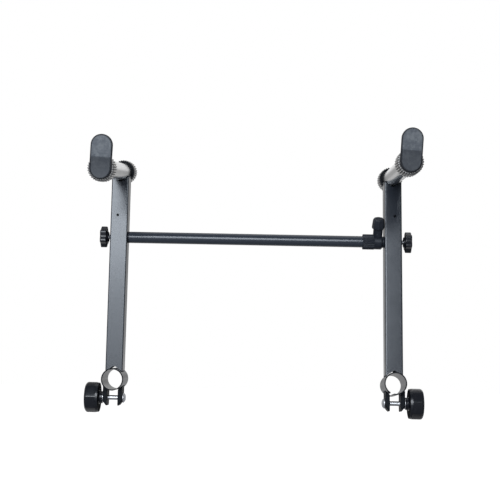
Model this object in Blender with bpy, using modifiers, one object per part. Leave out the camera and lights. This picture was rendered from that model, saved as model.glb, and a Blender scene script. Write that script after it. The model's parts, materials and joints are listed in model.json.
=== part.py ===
# Second tier for a keyboard stand: two side frames on a telescoping cross bar.
# Each frame clamps round an arm of the stand below and carries one arm of the upper tier.
# Metres, +Z up. The origin lies midway between the two clamps, on the axis of their bores.
# +X runs along the cross bar, and the player stands on the -Y side.

import math

import bmesh
import bpy

MM = 0.001
COLLECTION = "keyboard_stand_second_tier"

# Side frames
FRAME_SPACING = 480 * MM      # between the middles of the uprights, with the cross bar closed
BAR_HEIGHT = 248 * MM         # cross bar's axis above the clamp's axis
ARM_HEIGHT = 365 * MM         # arm's axis above the clamp's axis, at the upright
ARM_TILT = math.radians(9)    # the arm's front end hangs lower than its back end
RIGHT_FRAME_TURN = math.radians(5.5)   # right frame about the cross bar, its foot towards the front
FIT = 0.3 * MM                # clearance between pieces that seat on each other

# Uprights: square tube with a V cut in each end
UPRIGHT_WIDTH = 30 * MM
UPRIGHT_WALL = 1.5 * MM
UPRIGHT_CORNER = 2 * MM
NOTCH_HALF_ANGLE = math.radians(57)
FINISH_HOLE = 4.5 * MM        # hole in the front wall that the tube hangs by while it is coated
FINISH_HOLE_OFFSET = 2.7 * MM          # outwards from the tube's middle
FINISH_HOLE_RISES = (37.5 * MM, 44 * MM)     # left and right, above the cross bar's axis

# Arms that the keyboard lies on
ARM_DIAMETER = 30 * MM
ARM_WALL = 1.5 * MM
ARM_FRONT = 224 * MM          # from the upright's middle to the tube's front end
ARM_BACK = 70 * MM
CAP_THICKNESS = 6 * MM
CAP_WIDTH = 34 * MM
CAP_RISE = 35.6 * MM          # from the arm's axis up to the middle of the cap's upper arc
CAP_CHAMFER = 1.6 * MM
CAP_DISH_DEPTH = 1.0 * MM
CAP_DISH_TOP = 18.5 * MM      # upper edge of the dish above the arm's axis
CAP_DISH_BOTTOM = 15 * MM
CAP_TURN = math.radians(3)    # both caps were pushed in leaning a little to the right
PLUG_LENGTH = 20 * MM
PLUG_WALL = 2.5 * MM
BACK_PLUG_FLANGE = 3 * MM
BACK_PLUG_LENGTH = 14 * MM
GRIP_LENGTH = 34 * MM
GRIP_DIAMETER = 42 * MM
GRIP_RIBS = 28
GRIP_RIB_HEIGHT = 0.9 * MM

# Clamps
BORE_DIAMETER = 34 * MM
SLEEVE_WALL = 2 * MM
SLEEVE_LENGTH = 65 * MM
SLIT_WIDTH = 6 * MM
SLIT_OFFSET = 6 * MM          # the slit's middle lies this much further in than the bore's axis
LUG_GAP = 18.5 * MM
LUG_OFFSET = 1.5 * MM         # the gap's middle lies this much further out than the bore's axis
LUG_THICKNESS = 7.3 * MM
LUG_DEPTH = 28 * MM
LUG_TOP = 11.5 * MM           # lug's upper and lower end below the bore's axis
LUG_DROP = 45.3 * MM
LUG_CHAMFER_WIDTH = 5.5 * MM
LUG_CHAMFER_HEIGHT = 7 * MM
LUG_ROUNDING = 4 * MM
CLAMP_BOLT_DROP = 32 * MM     # bolt's axis below the bore's axis
CLAMP_BOLT = 8 * MM
CLAMP_BOLT_LENGTH = 54 * MM
BOLT_TIP = 0.8 * MM           # chamfer at the threaded end
BOLT_HEAD_DIAMETER = 17.5 * MM
BOLT_HEAD_HEIGHT = 5 * MM
WASHER_DIAMETER = 18 * MM
WASHER_THICKNESS = 1.6 * MM
CLAMP_KNOB_DIAMETER = 52 * MM
CLAMP_KNOB_LOBES = 8
CLAMP_KNOB_FLUTE = 1.5 * MM
CLAMP_KNOB_GRIP = 19.5 * MM
CLAMP_KNOB_FLANGE = 4 * MM
CLAMP_KNOB_HUB = 5.4 * MM
CLAMP_KNOB_HUB_DIAMETER = 21 * MM
CLAMP_KNOB_ROUNDING = 4.5 * MM
CLAMP_KNOB_DISH = 31 * MM
CLAMP_KNOB_DISH_DEPTH = 1.5 * MM
NUT_DIAMETER = 13 * MM
NUT_LENGTH = 14 * MM

# Cross bar
BAR_DIAMETER = 20 * MM
BAR_WALL = 1.5 * MM
INNER_DIAMETER = 16 * MM
INNER_WALL = 1.2 * MM
TAIL_ROOM = 39 * MM           # between the left plug and the inner tube's bush, with the bar closed
END_FLANGE = 2 * MM
END_PLUG_LENGTH = 24 * MM
TAIL_BUSH_LENGTH = 12 * MM
COLLAR_DIAMETER = 27 * MM
COLLAR_LENGTH = 34 * MM
COLLAR_RIBBED = 20 * MM
COLLAR_RIBS = 24
COLLAR_RIB_HEIGHT = 0.5 * MM
COLLAR_TO_UPRIGHT = 3.5 * MM
COLLAR_SOCKET = 15 * MM       # how deep the outer tube sits in the collar
COLLAR_CHAMFER = 2 * MM
BOSS_DIAMETER = 16.5 * MM
BOSS_RISE = 5.2 * MM
COLLAR_LEAN = math.radians(30)         # the collar's knob leans to the front
COLLAR_SCREW = 6 * MM
COLLAR_SCREW_LENGTH = 26 * MM
COLLAR_KNOB_TO_END = 8.2 * MM
COLLAR_KNOB_DIAMETER = 22.4 * MM
COLLAR_KNOB_TOP_DIAMETER = 19.4 * MM
COLLAR_KNOB_HEIGHT = 19 * MM
COLLAR_KNOB_DISH = 9 * MM
COLLAR_KNOB_DISH_DEPTH = 0.8 * MM
COLLAR_KNOB_HUB = 6.4 * MM
COLLAR_KNOB_LOBES = 8
COLLAR_KNOB_FLUTE = 0.8 * MM
COLLAR_KNOB_ROUNDING = 5 * MM
PAD_THICKNESS = 1.5 * MM

# Star knobs that hold the frames to the cross bar
STUD = 8 * MM
STUD_REACH = 18 * MM          # how far the stud goes into the cross bar
STUD_IN_KNOB = 9 * MM
STAR_TO_UPRIGHT = 4 * MM
STAR_DIAMETER = 37 * MM
STAR_LOBES = 6
STAR_FLUTE = 3.6 * MM
STAR_GRIP = 10.8 * MM
STAR_CROWN = 1.2 * MM
STAR_CONE = 2.7 * MM
STAR_HUB_DIAMETER = 19 * MM
STAR_ROUNDING = 1.6 * MM

# Sizes that follow from those above
FRAME_X = FRAME_SPACING / 2
HALF_UPRIGHT = UPRIGHT_WIDTH / 2
SLEEVE_RADIUS = BORE_DIAMETER / 2 + SLEEVE_WALL
ARM_RADIUS = ARM_DIAMETER / 2
ARM_BORE = ARM_DIAMETER - 2 * ARM_WALL
OUTER_LUG_NEAR = LUG_GAP / 2 + LUG_OFFSET         # each lug's near and far face, from the bore's axis
INNER_LUG_NEAR = LUG_GAP / 2 - LUG_OFFSET
OUTER_LUG_FAR = OUTER_LUG_NEAR + LUG_THICKNESS
INNER_LUG_FAR = INNER_LUG_NEAR + LUG_THICKNESS
BAR_RADIUS = BAR_DIAMETER / 2
BAR_BORE = BAR_DIAMETER - 2 * BAR_WALL
INNER_BORE = INNER_DIAMETER - 2 * INNER_WALL
UPRIGHT_FACE = FRAME_X - HALF_UPRIGHT             # inner face of each upright, from the middle
BAR_LEFT_END = -UPRIGHT_FACE + END_FLANGE + 2 * FIT
INNER_RIGHT_END = UPRIGHT_FACE - END_FLANGE - 2 * FIT
COLLAR_RIGHT = UPRIGHT_FACE - COLLAR_TO_UPRIGHT
COLLAR_LEFT = COLLAR_RIGHT - COLLAR_LENGTH
COLLAR_KNOB_X = COLLAR_RIGHT - COLLAR_KNOB_TO_END
BAR_RIGHT_END = COLLAR_LEFT + COLLAR_SOCKET
INNER_LEFT_END = BAR_LEFT_END + END_PLUG_LENGTH + TAIL_ROOM + END_FLANGE

ALONG_Y = (math.radians(-90), 0, 0)       # turned pieces: their axis, local Z, points to +Y
ALONG_X = (0, math.radians(90), 0)        # their axis points to +X
ALONG_MINUS_X = (0, math.radians(-90), 0)
DRAWN_UPRIGHT = (math.radians(90), 0, 0)  # flat outlines: drawn in X and Z, thick along Y

for old in list(bpy.data.objects):
    bpy.data.objects.remove(old)

parts = bpy.data.collections.new(COLLECTION)
cutters = bpy.data.collections.new("cutters")
bpy.context.scene.collection.children.link(parts)
bpy.context.scene.collection.children.link(cutters)


def finish_of(name, colour, roughness, metallic):
    material = bpy.data.materials.new(name)
    material.use_nodes = True
    shader = material.node_tree.nodes["Principled BSDF"]
    shader.inputs["Base Color"].default_value = (*colour, 1)
    shader.inputs["Roughness"].default_value = roughness
    shader.inputs["Metallic"].default_value = metallic
    return material


FINISHES = {
    "coat": ((0.030, 0.032, 0.036), 0.38, 0.0),
    "bar coat": ((0.020, 0.021, 0.024), 0.30, 0.0),
    "cap plastic": ((0.065, 0.072, 0.082), 0.55, 0.0),
    "knob plastic": ((0.012, 0.012, 0.014), 0.22, 0.0),
    "rubber": ((0.035, 0.036, 0.038), 0.70, 0.0),
    "zinc": ((0.74, 0.75, 0.77), 0.25, 1.0),
    "brass": ((0.78, 0.60, 0.32), 0.30, 1.0),
    "nylon": ((0.55, 0.54, 0.50), 0.50, 0.0),
}


def add_piece(name, mesh, finish, parent=None, location=(0, 0, 0), rotation=(0, 0, 0)):
    """A named sub-part with its own material, placed under an empty."""
    piece = bpy.data.objects.new(name, mesh)
    mesh.materials.clear()
    mesh.materials.append(finish_of(name, *FINISHES[finish]))
    parts.objects.link(piece)
    place(piece, parent, location, rotation)
    return piece


def place(item, parent, location, rotation=(0, 0, 0)):
    item.parent = parent
    item.location = location
    item.rotation_euler = rotation


def add_empty(name, location, rotation=(0, 0, 0), parent=None):
    empty = bpy.data.objects.new(name, None)
    parts.objects.link(empty)
    place(empty, parent, location, rotation)
    return empty


def smooth(mesh):
    mesh.shade_smooth()
    mesh.set_sharp_from_angle(angle=math.radians(35))
    return mesh


def as_mesh(item):
    """Turns an object with its modifiers into a plain welded mesh, and removes the object."""
    bpy.context.view_layer.update()
    evaluated = item.evaluated_get(bpy.context.evaluated_depsgraph_get())
    mesh = bpy.data.meshes.new_from_object(evaluated)
    work = bmesh.new()
    work.from_mesh(mesh)
    bmesh.ops.remove_doubles(work, verts=work.verts, dist=1e-6)
    work.to_mesh(mesh)
    work.free()
    bpy.data.objects.remove(item)
    return smooth(mesh)


def extruded(outlines, thickness):
    """A flat piece from closed outlines, the first one its edge and the others its holes."""
    curve = bpy.data.curves.new("outline", "CURVE")
    curve.dimensions = "2D"
    curve.fill_mode = "BOTH"
    curve.extrude = thickness / 2
    for outline in outlines:
        spline = curve.splines.new("POLY")
        spline.points.add(len(outline) - 1)
        spline.use_cyclic_u = True
        for point, (x, y) in zip(spline.points, outline):
            point.co = (x, y, 0, 1)
    item = bpy.data.objects.new("outline", curve)
    parts.objects.link(item)
    return as_mesh(item)


def turned(profile, steps=32):
    """A turned piece from a profile of (radius, height) points down its outer side.

    A profile whose two ends are off the axis is closed, and makes a ring."""
    mesh = bpy.data.meshes.new("profile")
    edges = [(i, i + 1) for i in range(len(profile) - 1)]
    if profile[0][0] > 0 and profile[-1][0] > 0:
        edges.append((len(profile) - 1, 0))
    mesh.from_pydata([(radius, 0, height) for radius, height in profile], edges, [])
    item = bpy.data.objects.new("profile", mesh)
    parts.objects.link(item)
    screw = item.modifiers.new("turn", "SCREW")
    screw.steps = steps
    screw.render_steps = steps
    screw.use_merge_vertices = True
    screw.merge_threshold = 0.00001
    return as_mesh(item)


def tube(outer, wall, length, steps=32):
    """A tube along local Z from 0 to its length."""
    radius = outer / 2
    return turned([(radius, length), (radius, 0), (radius - wall, 0), (radius - wall, length)], steps)


def fluted(profile, lobes, sharpness, steps=6):
    """A loft from round to lobed sections: each point of the profile is (radius, height, flute depth).

    The profile runs down the outer side. It starts and ends on the axis, or else it is closed and
    makes a ring. Between two lobes a section's radius dips by its flute depth, along a raised sine,
    and a higher sharpness makes the lobes broader."""
    count = lobes * steps
    work = bmesh.new()
    sections = []
    for radius, height, flute in profile:
        if radius == 0:
            sections.append([work.verts.new((0, 0, height))])
            continue
        ring = []
        for i in range(count):
            angle = 2 * math.pi * i / count
            r = radius - flute * abs(math.sin(lobes * angle / 2)) ** sharpness
            ring.append(work.verts.new((r * math.cos(angle), r * math.sin(angle), height)))
        sections.append(ring)
    closing = sections[:1] if profile[0][0] > 0 else []
    for upper, lower in zip(sections, sections[1:] + closing):
        for i in range(count):
            after = (i + 1) % count
            corners = [upper[i % len(upper)], lower[i % len(lower)]]
            corners += [lower[after % len(lower)], upper[after % len(upper)]]
            work.faces.new(list(dict.fromkeys(corners)))
    mesh = bpy.data.meshes.new("fluted")
    work.to_mesh(mesh)
    work.free()
    return smooth(mesh)


def rounding(radius, height, reach, flute, steps):
    """Profile points of a rounded upper rim, from its top to its side. The flute fades in over it."""
    angles = [math.radians(90 - 90 * i / steps) for i in range(steps + 1)]
    return [(radius - reach + reach * math.cos(a), height - reach + reach * math.sin(a), flute * math.cos(a))
            for a in angles]


def rod(diameter, length, steps=24):
    mesh = bpy.data.meshes.new("rod")
    work = bmesh.new()
    bmesh.ops.create_cone(work, cap_ends=True, segments=steps, radius1=diameter / 2,
                          radius2=diameter / 2, depth=length)
    work.to_mesh(mesh)
    work.free()
    return smooth(mesh)


def cut(piece, mesh, location=(0, 0, 0), rotation=(0, 0, 0), operation="DIFFERENCE"):
    """Takes a shape away from a piece, or joins it on. The place is given beside the piece's parent."""
    tool = bpy.data.objects.new(piece.name + "_tool", mesh)
    cutters.objects.link(tool)
    place(tool, piece.parent, location, rotation)
    tool.hide_render = True
    tool.display_type = "WIRE"
    boolean = piece.modifiers.new(operation.lower(), "BOOLEAN")
    boolean.operation = operation
    boolean.object = tool
    boolean.solver = "EXACT"


def join(piece, mesh, location=(0, 0, 0), rotation=(0, 0, 0)):
    cut(piece, mesh, location, rotation, "UNION")


def round_rims(piece, width, segments, both_ends=True):
    """Rounds the rim of an extruded piece at its upper end, local +Z, or at both ends."""
    mesh = piece.data
    top = max(vertex.co.z for vertex in mesh.vertices)
    weights = mesh.attributes.new("bevel_weight_edge", "FLOAT", "EDGE")
    for edge in mesh.edges:
        heights = [mesh.vertices[number].co.z for number in edge.vertices]
        rim = abs(heights[0] - heights[1]) < 1e-7 and abs(abs(heights[0]) - top) < 1e-7
        weights.data[edge.index].value = 1.0 if rim and (both_ends or heights[0] > 0) else 0.0
    bevel = piece.modifiers.new("rounding", "BEVEL")
    bevel.width = width
    bevel.segments = segments
    bevel.limit_method = "WEIGHT"


def arc(centre, radius, start, end, steps):
    """Points on an arc, its two ends included. Angles are in degrees from +X."""
    angles = [math.radians(start + (end - start) * i / steps) for i in range(steps + 1)]
    return [(centre[0] + radius * math.cos(a), centre[1] + radius * math.sin(a)) for a in angles]


def circle(radius, steps=40):
    return arc((0, 0), radius, 0, 360, steps)[:-1]


def rounded_square(width, corner, steps=3):
    half = width / 2 - corner
    points = []
    for number, (x, y) in enumerate(((half, half), (-half, half), (-half, -half), (half, -half))):
        points += arc((x, y), corner, 90 * number, 90 * number + 90, steps)
    return points


def ribbed_outline(radius, ribs, height):
    """A circle with raised ribs: each rib has a flat crest and slanting flanks."""
    pitch = 2 * math.pi / ribs
    points = []
    for rib in range(ribs):
        for share, r in ((0.0, radius), (0.42, radius), (0.58, radius - height), (0.84, radius - height)):
            angle = (rib + share) * pitch
            points.append((r * math.cos(angle), r * math.sin(angle)))
    return points


def notch_outline(saddled_radius):
    """Section of the V cutter, its apex at the bottom and the saddled round piece's axis at (0, 0)."""
    apex = (saddled_radius + FIT) / math.sin(NOTCH_HALF_ANGLE)
    shoulder_x = HALF_UPRIGHT - UPRIGHT_WALL
    shoulder = notch_shoulder(saddled_radius)
    beyond = UPRIGHT_WIDTH
    return [(0, -apex), (shoulder_x, -shoulder), (beyond, -shoulder), (beyond, apex), (-beyond, apex),
            (-beyond, -shoulder), (-shoulder_x, -shoulder)]


def notch_shoulder(saddled_radius):
    """Distance from the saddled piece's axis to the flat ends of the upright's side walls."""
    apex = (saddled_radius + FIT) / math.sin(NOTCH_HALF_ANGLE)
    return apex - (HALF_UPRIGHT - UPRIGHT_WALL) / math.tan(NOTCH_HALF_ANGLE)


def build_upright(side, frame, outward, hole_rise):
    """Square tube from the clamp to the arm. It is drawn too long, and the V cutters trim its ends."""
    bottom = -BAR_HEIGHT
    top = ARM_HEIGHT - BAR_HEIGHT
    mesh = extruded([rounded_square(UPRIGHT_WIDTH, UPRIGHT_CORNER),
                     rounded_square(UPRIGHT_WIDTH - 2 * UPRIGHT_WALL, UPRIGHT_CORNER - UPRIGHT_WALL)],
                    ARM_HEIGHT)
    upright = add_piece(side + "_upright", mesh, "coat", frame, (0, 0, (top + bottom) / 2))
    foot = extruded([notch_outline(SLEEVE_RADIUS)], 3 * UPRIGHT_WIDTH)
    cut(upright, foot, (0, 0, bottom), (math.radians(-90), 0, 0))
    head = extruded([notch_outline(ARM_RADIUS)], 3 * UPRIGHT_WIDTH)
    cut(upright, head, (0, 0, top), (math.radians(90) + ARM_TILT, 0, 0))
    cut(upright, rod(STUD + 2 * FIT, 2 * UPRIGHT_WIDTH), (0, 0, 0), ALONG_X)
    hole = rod(FINISH_HOLE, 2 * UPRIGHT_WALL, 16)
    cut(upright, hole, (FINISH_HOLE_OFFSET * outward, -HALF_UPRIGHT + UPRIGHT_WALL / 2, hole_rise), ALONG_Y)


def build_cap(side, arm):
    """Front stop: a tall rounded plate that keeps the keyboard from sliding off, on a hollow plug."""
    half = CAP_WIDTH / 2
    outline = arc((0, CAP_RISE), half, 0, 180, 12) + arc((0, 0), half, 180, 360, 12)
    front = -ARM_FRONT - FIT - CAP_THICKNESS
    middle = front + CAP_THICKNESS / 2
    spin = add_empty(side + "_cap_axis", (0, 0, 0), (0, CAP_TURN, 0), arm)
    cap = add_piece(side + "_stop_cap", extruded([outline], CAP_THICKNESS), "cap plastic", spin,
                    (0, middle, 0), DRAWN_UPRIGHT)
    round_rims(cap, CAP_CHAMFER, 2, False)
    chord = (CAP_DISH_TOP + CAP_DISH_BOTTOM) / 2
    dish_radius = (chord ** 2 + CAP_DISH_DEPTH ** 2) / (2 * CAP_DISH_DEPTH)
    dish_height = (CAP_DISH_TOP - CAP_DISH_BOTTOM) / 2
    dish = rod(2 * dish_radius, CAP_WIDTH - 2 * CAP_CHAMFER - 2 * FIT, 160)
    cut(cap, dish, (0, front + CAP_DISH_DEPTH - dish_radius, dish_height), ALONG_X)
    plug = tube(ARM_BORE - 2 * FIT, PLUG_WALL, PLUG_LENGTH + 2 * FIT, 16)
    join(cap, plug, (0, front + CAP_THICKNESS - FIT, 0), ALONG_Y)
    weld = cap.modifiers.new("weld", "WELD")
    weld.merge_threshold = 0.00001


def build_back_plug(side, arm):
    radius = ARM_RADIUS
    plug = ARM_BORE / 2 - FIT
    top = BACK_PLUG_FLANGE
    crown = 0.8 * MM
    mesh = turned([(0, top), (radius - 2 * crown, top - crown / 2), (radius, top - 2 * crown), (radius, 0),
                   (plug, 0), (plug, -BACK_PLUG_LENGTH),
                   (plug - PLUG_WALL, -BACK_PLUG_LENGTH), (plug - PLUG_WALL, 0), (0, 0)], 20)
    add_piece(side + "_back_plug", mesh, "cap plastic", arm, (0, ARM_BACK + FIT, 0), ALONG_Y)


def build_grip(name, arm, start):
    """Ribbed rubber ring round the arm, from its start towards the back."""
    ribbed = ribbed_outline(GRIP_DIAMETER / 2, GRIP_RIBS, GRIP_RIB_HEIGHT)
    mesh = extruded([ribbed, circle(ARM_RADIUS + FIT, 28)], GRIP_LENGTH)
    add_piece(name, mesh, "rubber", arm, (0, start + GRIP_LENGTH / 2, 0), DRAWN_UPRIGHT)


def build_arm(side, frame):
    arm = add_empty(side + "_arm_axis", (0, 0, ARM_HEIGHT - BAR_HEIGHT), (ARM_TILT, 0, 0), frame)
    add_piece(side + "_arm", tube(ARM_DIAMETER, ARM_WALL, ARM_FRONT + ARM_BACK, 36), "coat", arm,
              (0, -ARM_FRONT, 0), ALONG_Y)
    build_cap(side, arm)
    build_back_plug(side, arm)
    build_grip(side + "_front_grip", arm, -ARM_FRONT)
    behind_upright = (HALF_UPRIGHT + FIT) / math.cos(ARM_TILT)
    build_grip(side + "_rear_grip", arm, behind_upright)


def build_sleeve(side, frame, outward):
    """Split tube that goes round the lower stand's arm. Its slit is at the bottom, off the middle."""
    left_edge = -SLIT_OFFSET * outward - SLIT_WIDTH / 2
    right_edge = left_edge + SLIT_WIDTH
    outline = []
    for radius, way in ((SLEEVE_RADIUS, 1), (BORE_DIAMETER / 2, -1)):
        start = -90 + math.degrees(math.asin(right_edge / radius))
        end = 270 + math.degrees(math.asin(left_edge / radius))
        outline += arc((0, 0), radius, start, end, 32)[::way]
    mesh = extruded([outline], SLEEVE_LENGTH)
    add_piece(side + "_clamp_sleeve", mesh, "coat", frame, (0, 0, -BAR_HEIGHT), DRAWN_UPRIGHT)


def build_lug(name, frame, near, out):
    """Plate welded under the sleeve. out is +1 or -1, the side of the bore it is on."""
    low = -LUG_DROP
    high = -LUG_TOP
    inner = near * out
    outer = (near + LUG_THICKNESS) * out
    outline = [(inner, high), (inner, low), (outer - LUG_CHAMFER_WIDTH * out, low),
               (outer, low + LUG_CHAMFER_HEIGHT), (outer, high)]
    lug = add_piece(name, extruded([outline], LUG_DEPTH), "coat", frame, (0, 0, -BAR_HEIGHT), DRAWN_UPRIGHT)
    cut(lug, rod(2 * (SLEEVE_RADIUS + FIT), 2 * LUG_DEPTH, 80), (0, 0, -BAR_HEIGHT), ALONG_Y)
    bolt_z = -BAR_HEIGHT - CLAMP_BOLT_DROP
    cut(lug, rod(CLAMP_BOLT + 2 * FIT, 2 * LUG_THICKNESS), ((inner + outer) / 2, 0, bolt_z), ALONG_X)
    round_lug(lug)


def build_clamp_knob(side, knob_axis):
    """Broad knob on the clamp bolt: fluted grip, flange and hub, with a threaded nut moulded in."""
    radius = CLAMP_KNOB_DIAMETER / 2
    hub = CLAMP_KNOB_HUB_DIAMETER / 2
    flange = CLAMP_KNOB_HUB
    grip = flange + CLAMP_KNOB_FLANGE
    face = grip + CLAMP_KNOB_GRIP
    flute = CLAMP_KNOB_FLUTE
    pocket = NUT_DIAMETER / 2 + FIT
    hole = CLAMP_BOLT / 2 + FIT
    hole_end = CLAMP_BOLT_LENGTH - INNER_LUG_FAR - OUTER_LUG_FAR - WASHER_THICKNESS
    dish = CLAMP_KNOB_DISH / 2
    profile = [(0, face - CLAMP_KNOB_DISH_DEPTH, 0), (dish - 1.5 * MM, face - CLAMP_KNOB_DISH_DEPTH, 0),
               (dish, face, 0)]
    profile += rounding(radius, face, CLAMP_KNOB_ROUNDING, flute, 2)
    profile += [(radius, grip + 0.8 * MM, flute), (radius, grip, 0), (radius - 1 * MM, flange, 0),
                (hub + 1.5 * MM, flange, 0), (hub, flange - 1.2 * MM, 0), (hub, 0, 0)]
    profile += [(pocket, 0, 0), (pocket, NUT_LENGTH + FIT, 0), (hole, NUT_LENGTH + FIT, 0)]
    profile += [(hole, hole_end, 0), (0, hole_end, 0)]
    knob = fluted(profile, CLAMP_KNOB_LOBES, 3, 5)
    add_piece(side + "_clamp_knob", knob, "knob plastic", knob_axis)
    outer = NUT_DIAMETER / 2
    nut = turned([(outer - 0.5 * MM, NUT_LENGTH), (outer, NUT_LENGTH - 0.5 * MM), (outer, FIT), (hole, FIT),
                  (hole, NUT_LENGTH)], 16)
    add_piece(side + "_clamp_knob_nut", nut, "brass", knob_axis)


def build_clamp_bolt(side, bolt_axis):
    """Round headed bolt through both lugs, its square neck in the inner lug. Local Z runs outwards."""
    head = -INNER_LUG_FAR - FIT
    radius = BOLT_HEAD_DIAMETER / 2
    dome = [(radius * math.sin(a), head - BOLT_HEAD_HEIGHT * (0.25 + 0.75 * math.cos(a)))
            for a in [math.radians(22.5 * i) for i in range(4, -1, -1)]]
    dome[-1] = (0, head - BOLT_HEAD_HEIGHT)
    shank = CLAMP_BOLT / 2
    tip = head + CLAMP_BOLT_LENGTH
    profile = [(0, tip), (shank - BOLT_TIP, tip), (shank, tip - BOLT_TIP), (shank, head), (radius, head)]
    profile += dome
    add_piece(side + "_clamp_bolt", turned(profile, 20), "zinc", bolt_axis)


def build_clamp(side, frame, outward):
    build_sleeve(side, frame, outward)
    build_lug(side + "_clamp_outer_lug", frame, OUTER_LUG_NEAR, outward)
    build_lug(side + "_clamp_inner_lug", frame, INNER_LUG_NEAR, -outward)
    rotation = ALONG_X if outward > 0 else ALONG_MINUS_X
    bolt_z = -BAR_HEIGHT - CLAMP_BOLT_DROP
    bolt_axis = add_empty(side + "_clamp_bolt_axis", (0, 0, bolt_z), rotation, frame)
    build_clamp_bolt(side, bolt_axis)
    washer = tube(WASHER_DIAMETER, (WASHER_DIAMETER - CLAMP_BOLT) / 2 - FIT, WASHER_THICKNESS, 20)
    add_piece(side + "_clamp_washer", washer, "zinc", bolt_axis, (0, 0, OUTER_LUG_FAR + FIT))
    knob_start = OUTER_LUG_FAR + WASHER_THICKNESS + 2 * FIT
    knob_axis = add_empty(side + "_clamp_knob_axis", (0, 0, knob_start), (0, 0, 0), bolt_axis)
    build_clamp_knob(side, knob_axis)


def round_lug(lug):
    """Rounds the lug's two lower corners, seen from the side, with a frame-shaped cutter."""
    half = LUG_DEPTH / 2
    low = -LUG_DROP
    r = LUG_ROUNDING
    beyond = LUG_DEPTH
    for end in (1, -1):
        corner = [(end * (half - r), low), (end * (half - r), low - beyond)]
        corner += [(end * (half + beyond), low - beyond), (end * (half + beyond), low + r)]
        corner += [(end * half, low + r)]
        corner += [(end * (half - r + r * math.cos(a)), low + r - r * math.sin(a))
                   for a in [math.radians(15 * i) for i in range(1, 6)]]
        block = extruded([corner], 4 * OUTER_LUG_FAR)
        cut(lug, block, (0, 0, -BAR_HEIGHT), (math.radians(90), 0, math.radians(90)))


def build_star_knob(side, frame, outward):
    """Lobed knob with a fixed stud that goes through the upright into the cross bar's end."""
    rotation = ALONG_X if outward > 0 else ALONG_MINUS_X
    axis = add_empty(side + "_star_knob_axis", (0, 0, 0), rotation, frame)
    start = HALF_UPRIGHT + STAR_TO_UPRIGHT
    grip = start + STAR_CONE
    face = grip + STAR_GRIP
    radius = STAR_DIAMETER / 2
    hub = STAR_HUB_DIAMETER / 2
    hole = STUD / 2 + FIT
    hole_end = start + STUD_IN_KNOB + FIT
    crown = radius - STAR_FLUTE - STAR_ROUNDING
    profile = [(0, face + STAR_CROWN, 0), (crown * 0.6, face + STAR_CROWN * 0.6, 0)]
    profile += rounding(radius, face, STAR_ROUNDING, STAR_FLUTE, 2)[1:]
    profile[1:1] = [(crown * 0.3, face + STAR_CROWN * 0.9, 0)]
    profile += [(radius, grip + STAR_ROUNDING, STAR_FLUTE), (radius - STAR_ROUNDING, grip, STAR_FLUTE),
                (hub + 1 * MM, grip, 0), (hub, start + 1 * MM, 0), (hub - 1 * MM, start, 0), (hole, start, 0),
                (hole, hole_end, 0), (0, hole_end, 0)]
    add_piece(side + "_star_knob", fluted(profile, STAR_LOBES, 1.6, 5), "knob plastic", axis)
    tip = -HALF_UPRIGHT - STUD_REACH
    back = start + STUD_IN_KNOB
    r = STUD / 2
    stud = turned([(0, back), (r, back), (r, tip + 1 * MM), (r - 1 * MM, tip), (0, tip)], 20)
    add_piece(side + "_star_stud", stud, "zinc", axis)


def build_frame(side, outward, turn, hole_rise):
    """One side frame, hung on an empty that lies on the cross bar's axis."""
    frame = add_empty(side + "_frame_axis", (outward * FRAME_X, 0, BAR_HEIGHT), (-turn, 0, 0))
    build_upright(side, frame, outward, hole_rise)
    build_arm(side, frame)
    build_clamp(side, frame, outward)
    build_star_knob(side, frame, outward)


def end_plug(bore, outer, length):
    """Threaded plug in a tube's end, with a flange. Local Z points into the tube."""
    hole = STUD / 2 + FIT
    body = bore / 2 - FIT
    return turned([(body - 0.5 * MM, length), (body, length - 0.5 * MM), (body, 0), (outer / 2, 0),
                   (outer / 2, -END_FLANGE), (hole, -END_FLANGE), (hole, length)], 16)


def build_bar(bar, slide):
    """Outer and inner tube, each with its end plug, and a bush on the inner tube's hidden end."""
    outer = tube(BAR_DIAMETER, BAR_WALL, BAR_RIGHT_END - BAR_LEFT_END)
    add_piece("bar_outer_tube", outer, "bar coat", bar, (BAR_LEFT_END, 0, 0), ALONG_X)
    add_piece("bar_left_plug", end_plug(BAR_BORE, BAR_DIAMETER, END_PLUG_LENGTH), "knob plastic", bar,
              (BAR_LEFT_END - FIT, 0, 0), ALONG_X)
    inner = tube(INNER_DIAMETER, INNER_WALL, INNER_RIGHT_END - INNER_LEFT_END)
    add_piece("bar_inner_tube", inner, "bar coat", slide, (INNER_LEFT_END, 0, 0), ALONG_X)
    add_piece("bar_right_plug", end_plug(INNER_BORE, BAR_DIAMETER, END_PLUG_LENGTH), "knob plastic",
              slide, (INNER_RIGHT_END + FIT, 0, 0), ALONG_MINUS_X)
    bush = end_plug(INNER_BORE, INNER_DIAMETER, TAIL_BUSH_LENGTH)
    add_piece("bar_tail_bush", bush, "nylon", slide, (INNER_LEFT_END - FIT, 0, 0), ALONG_X)


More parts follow.
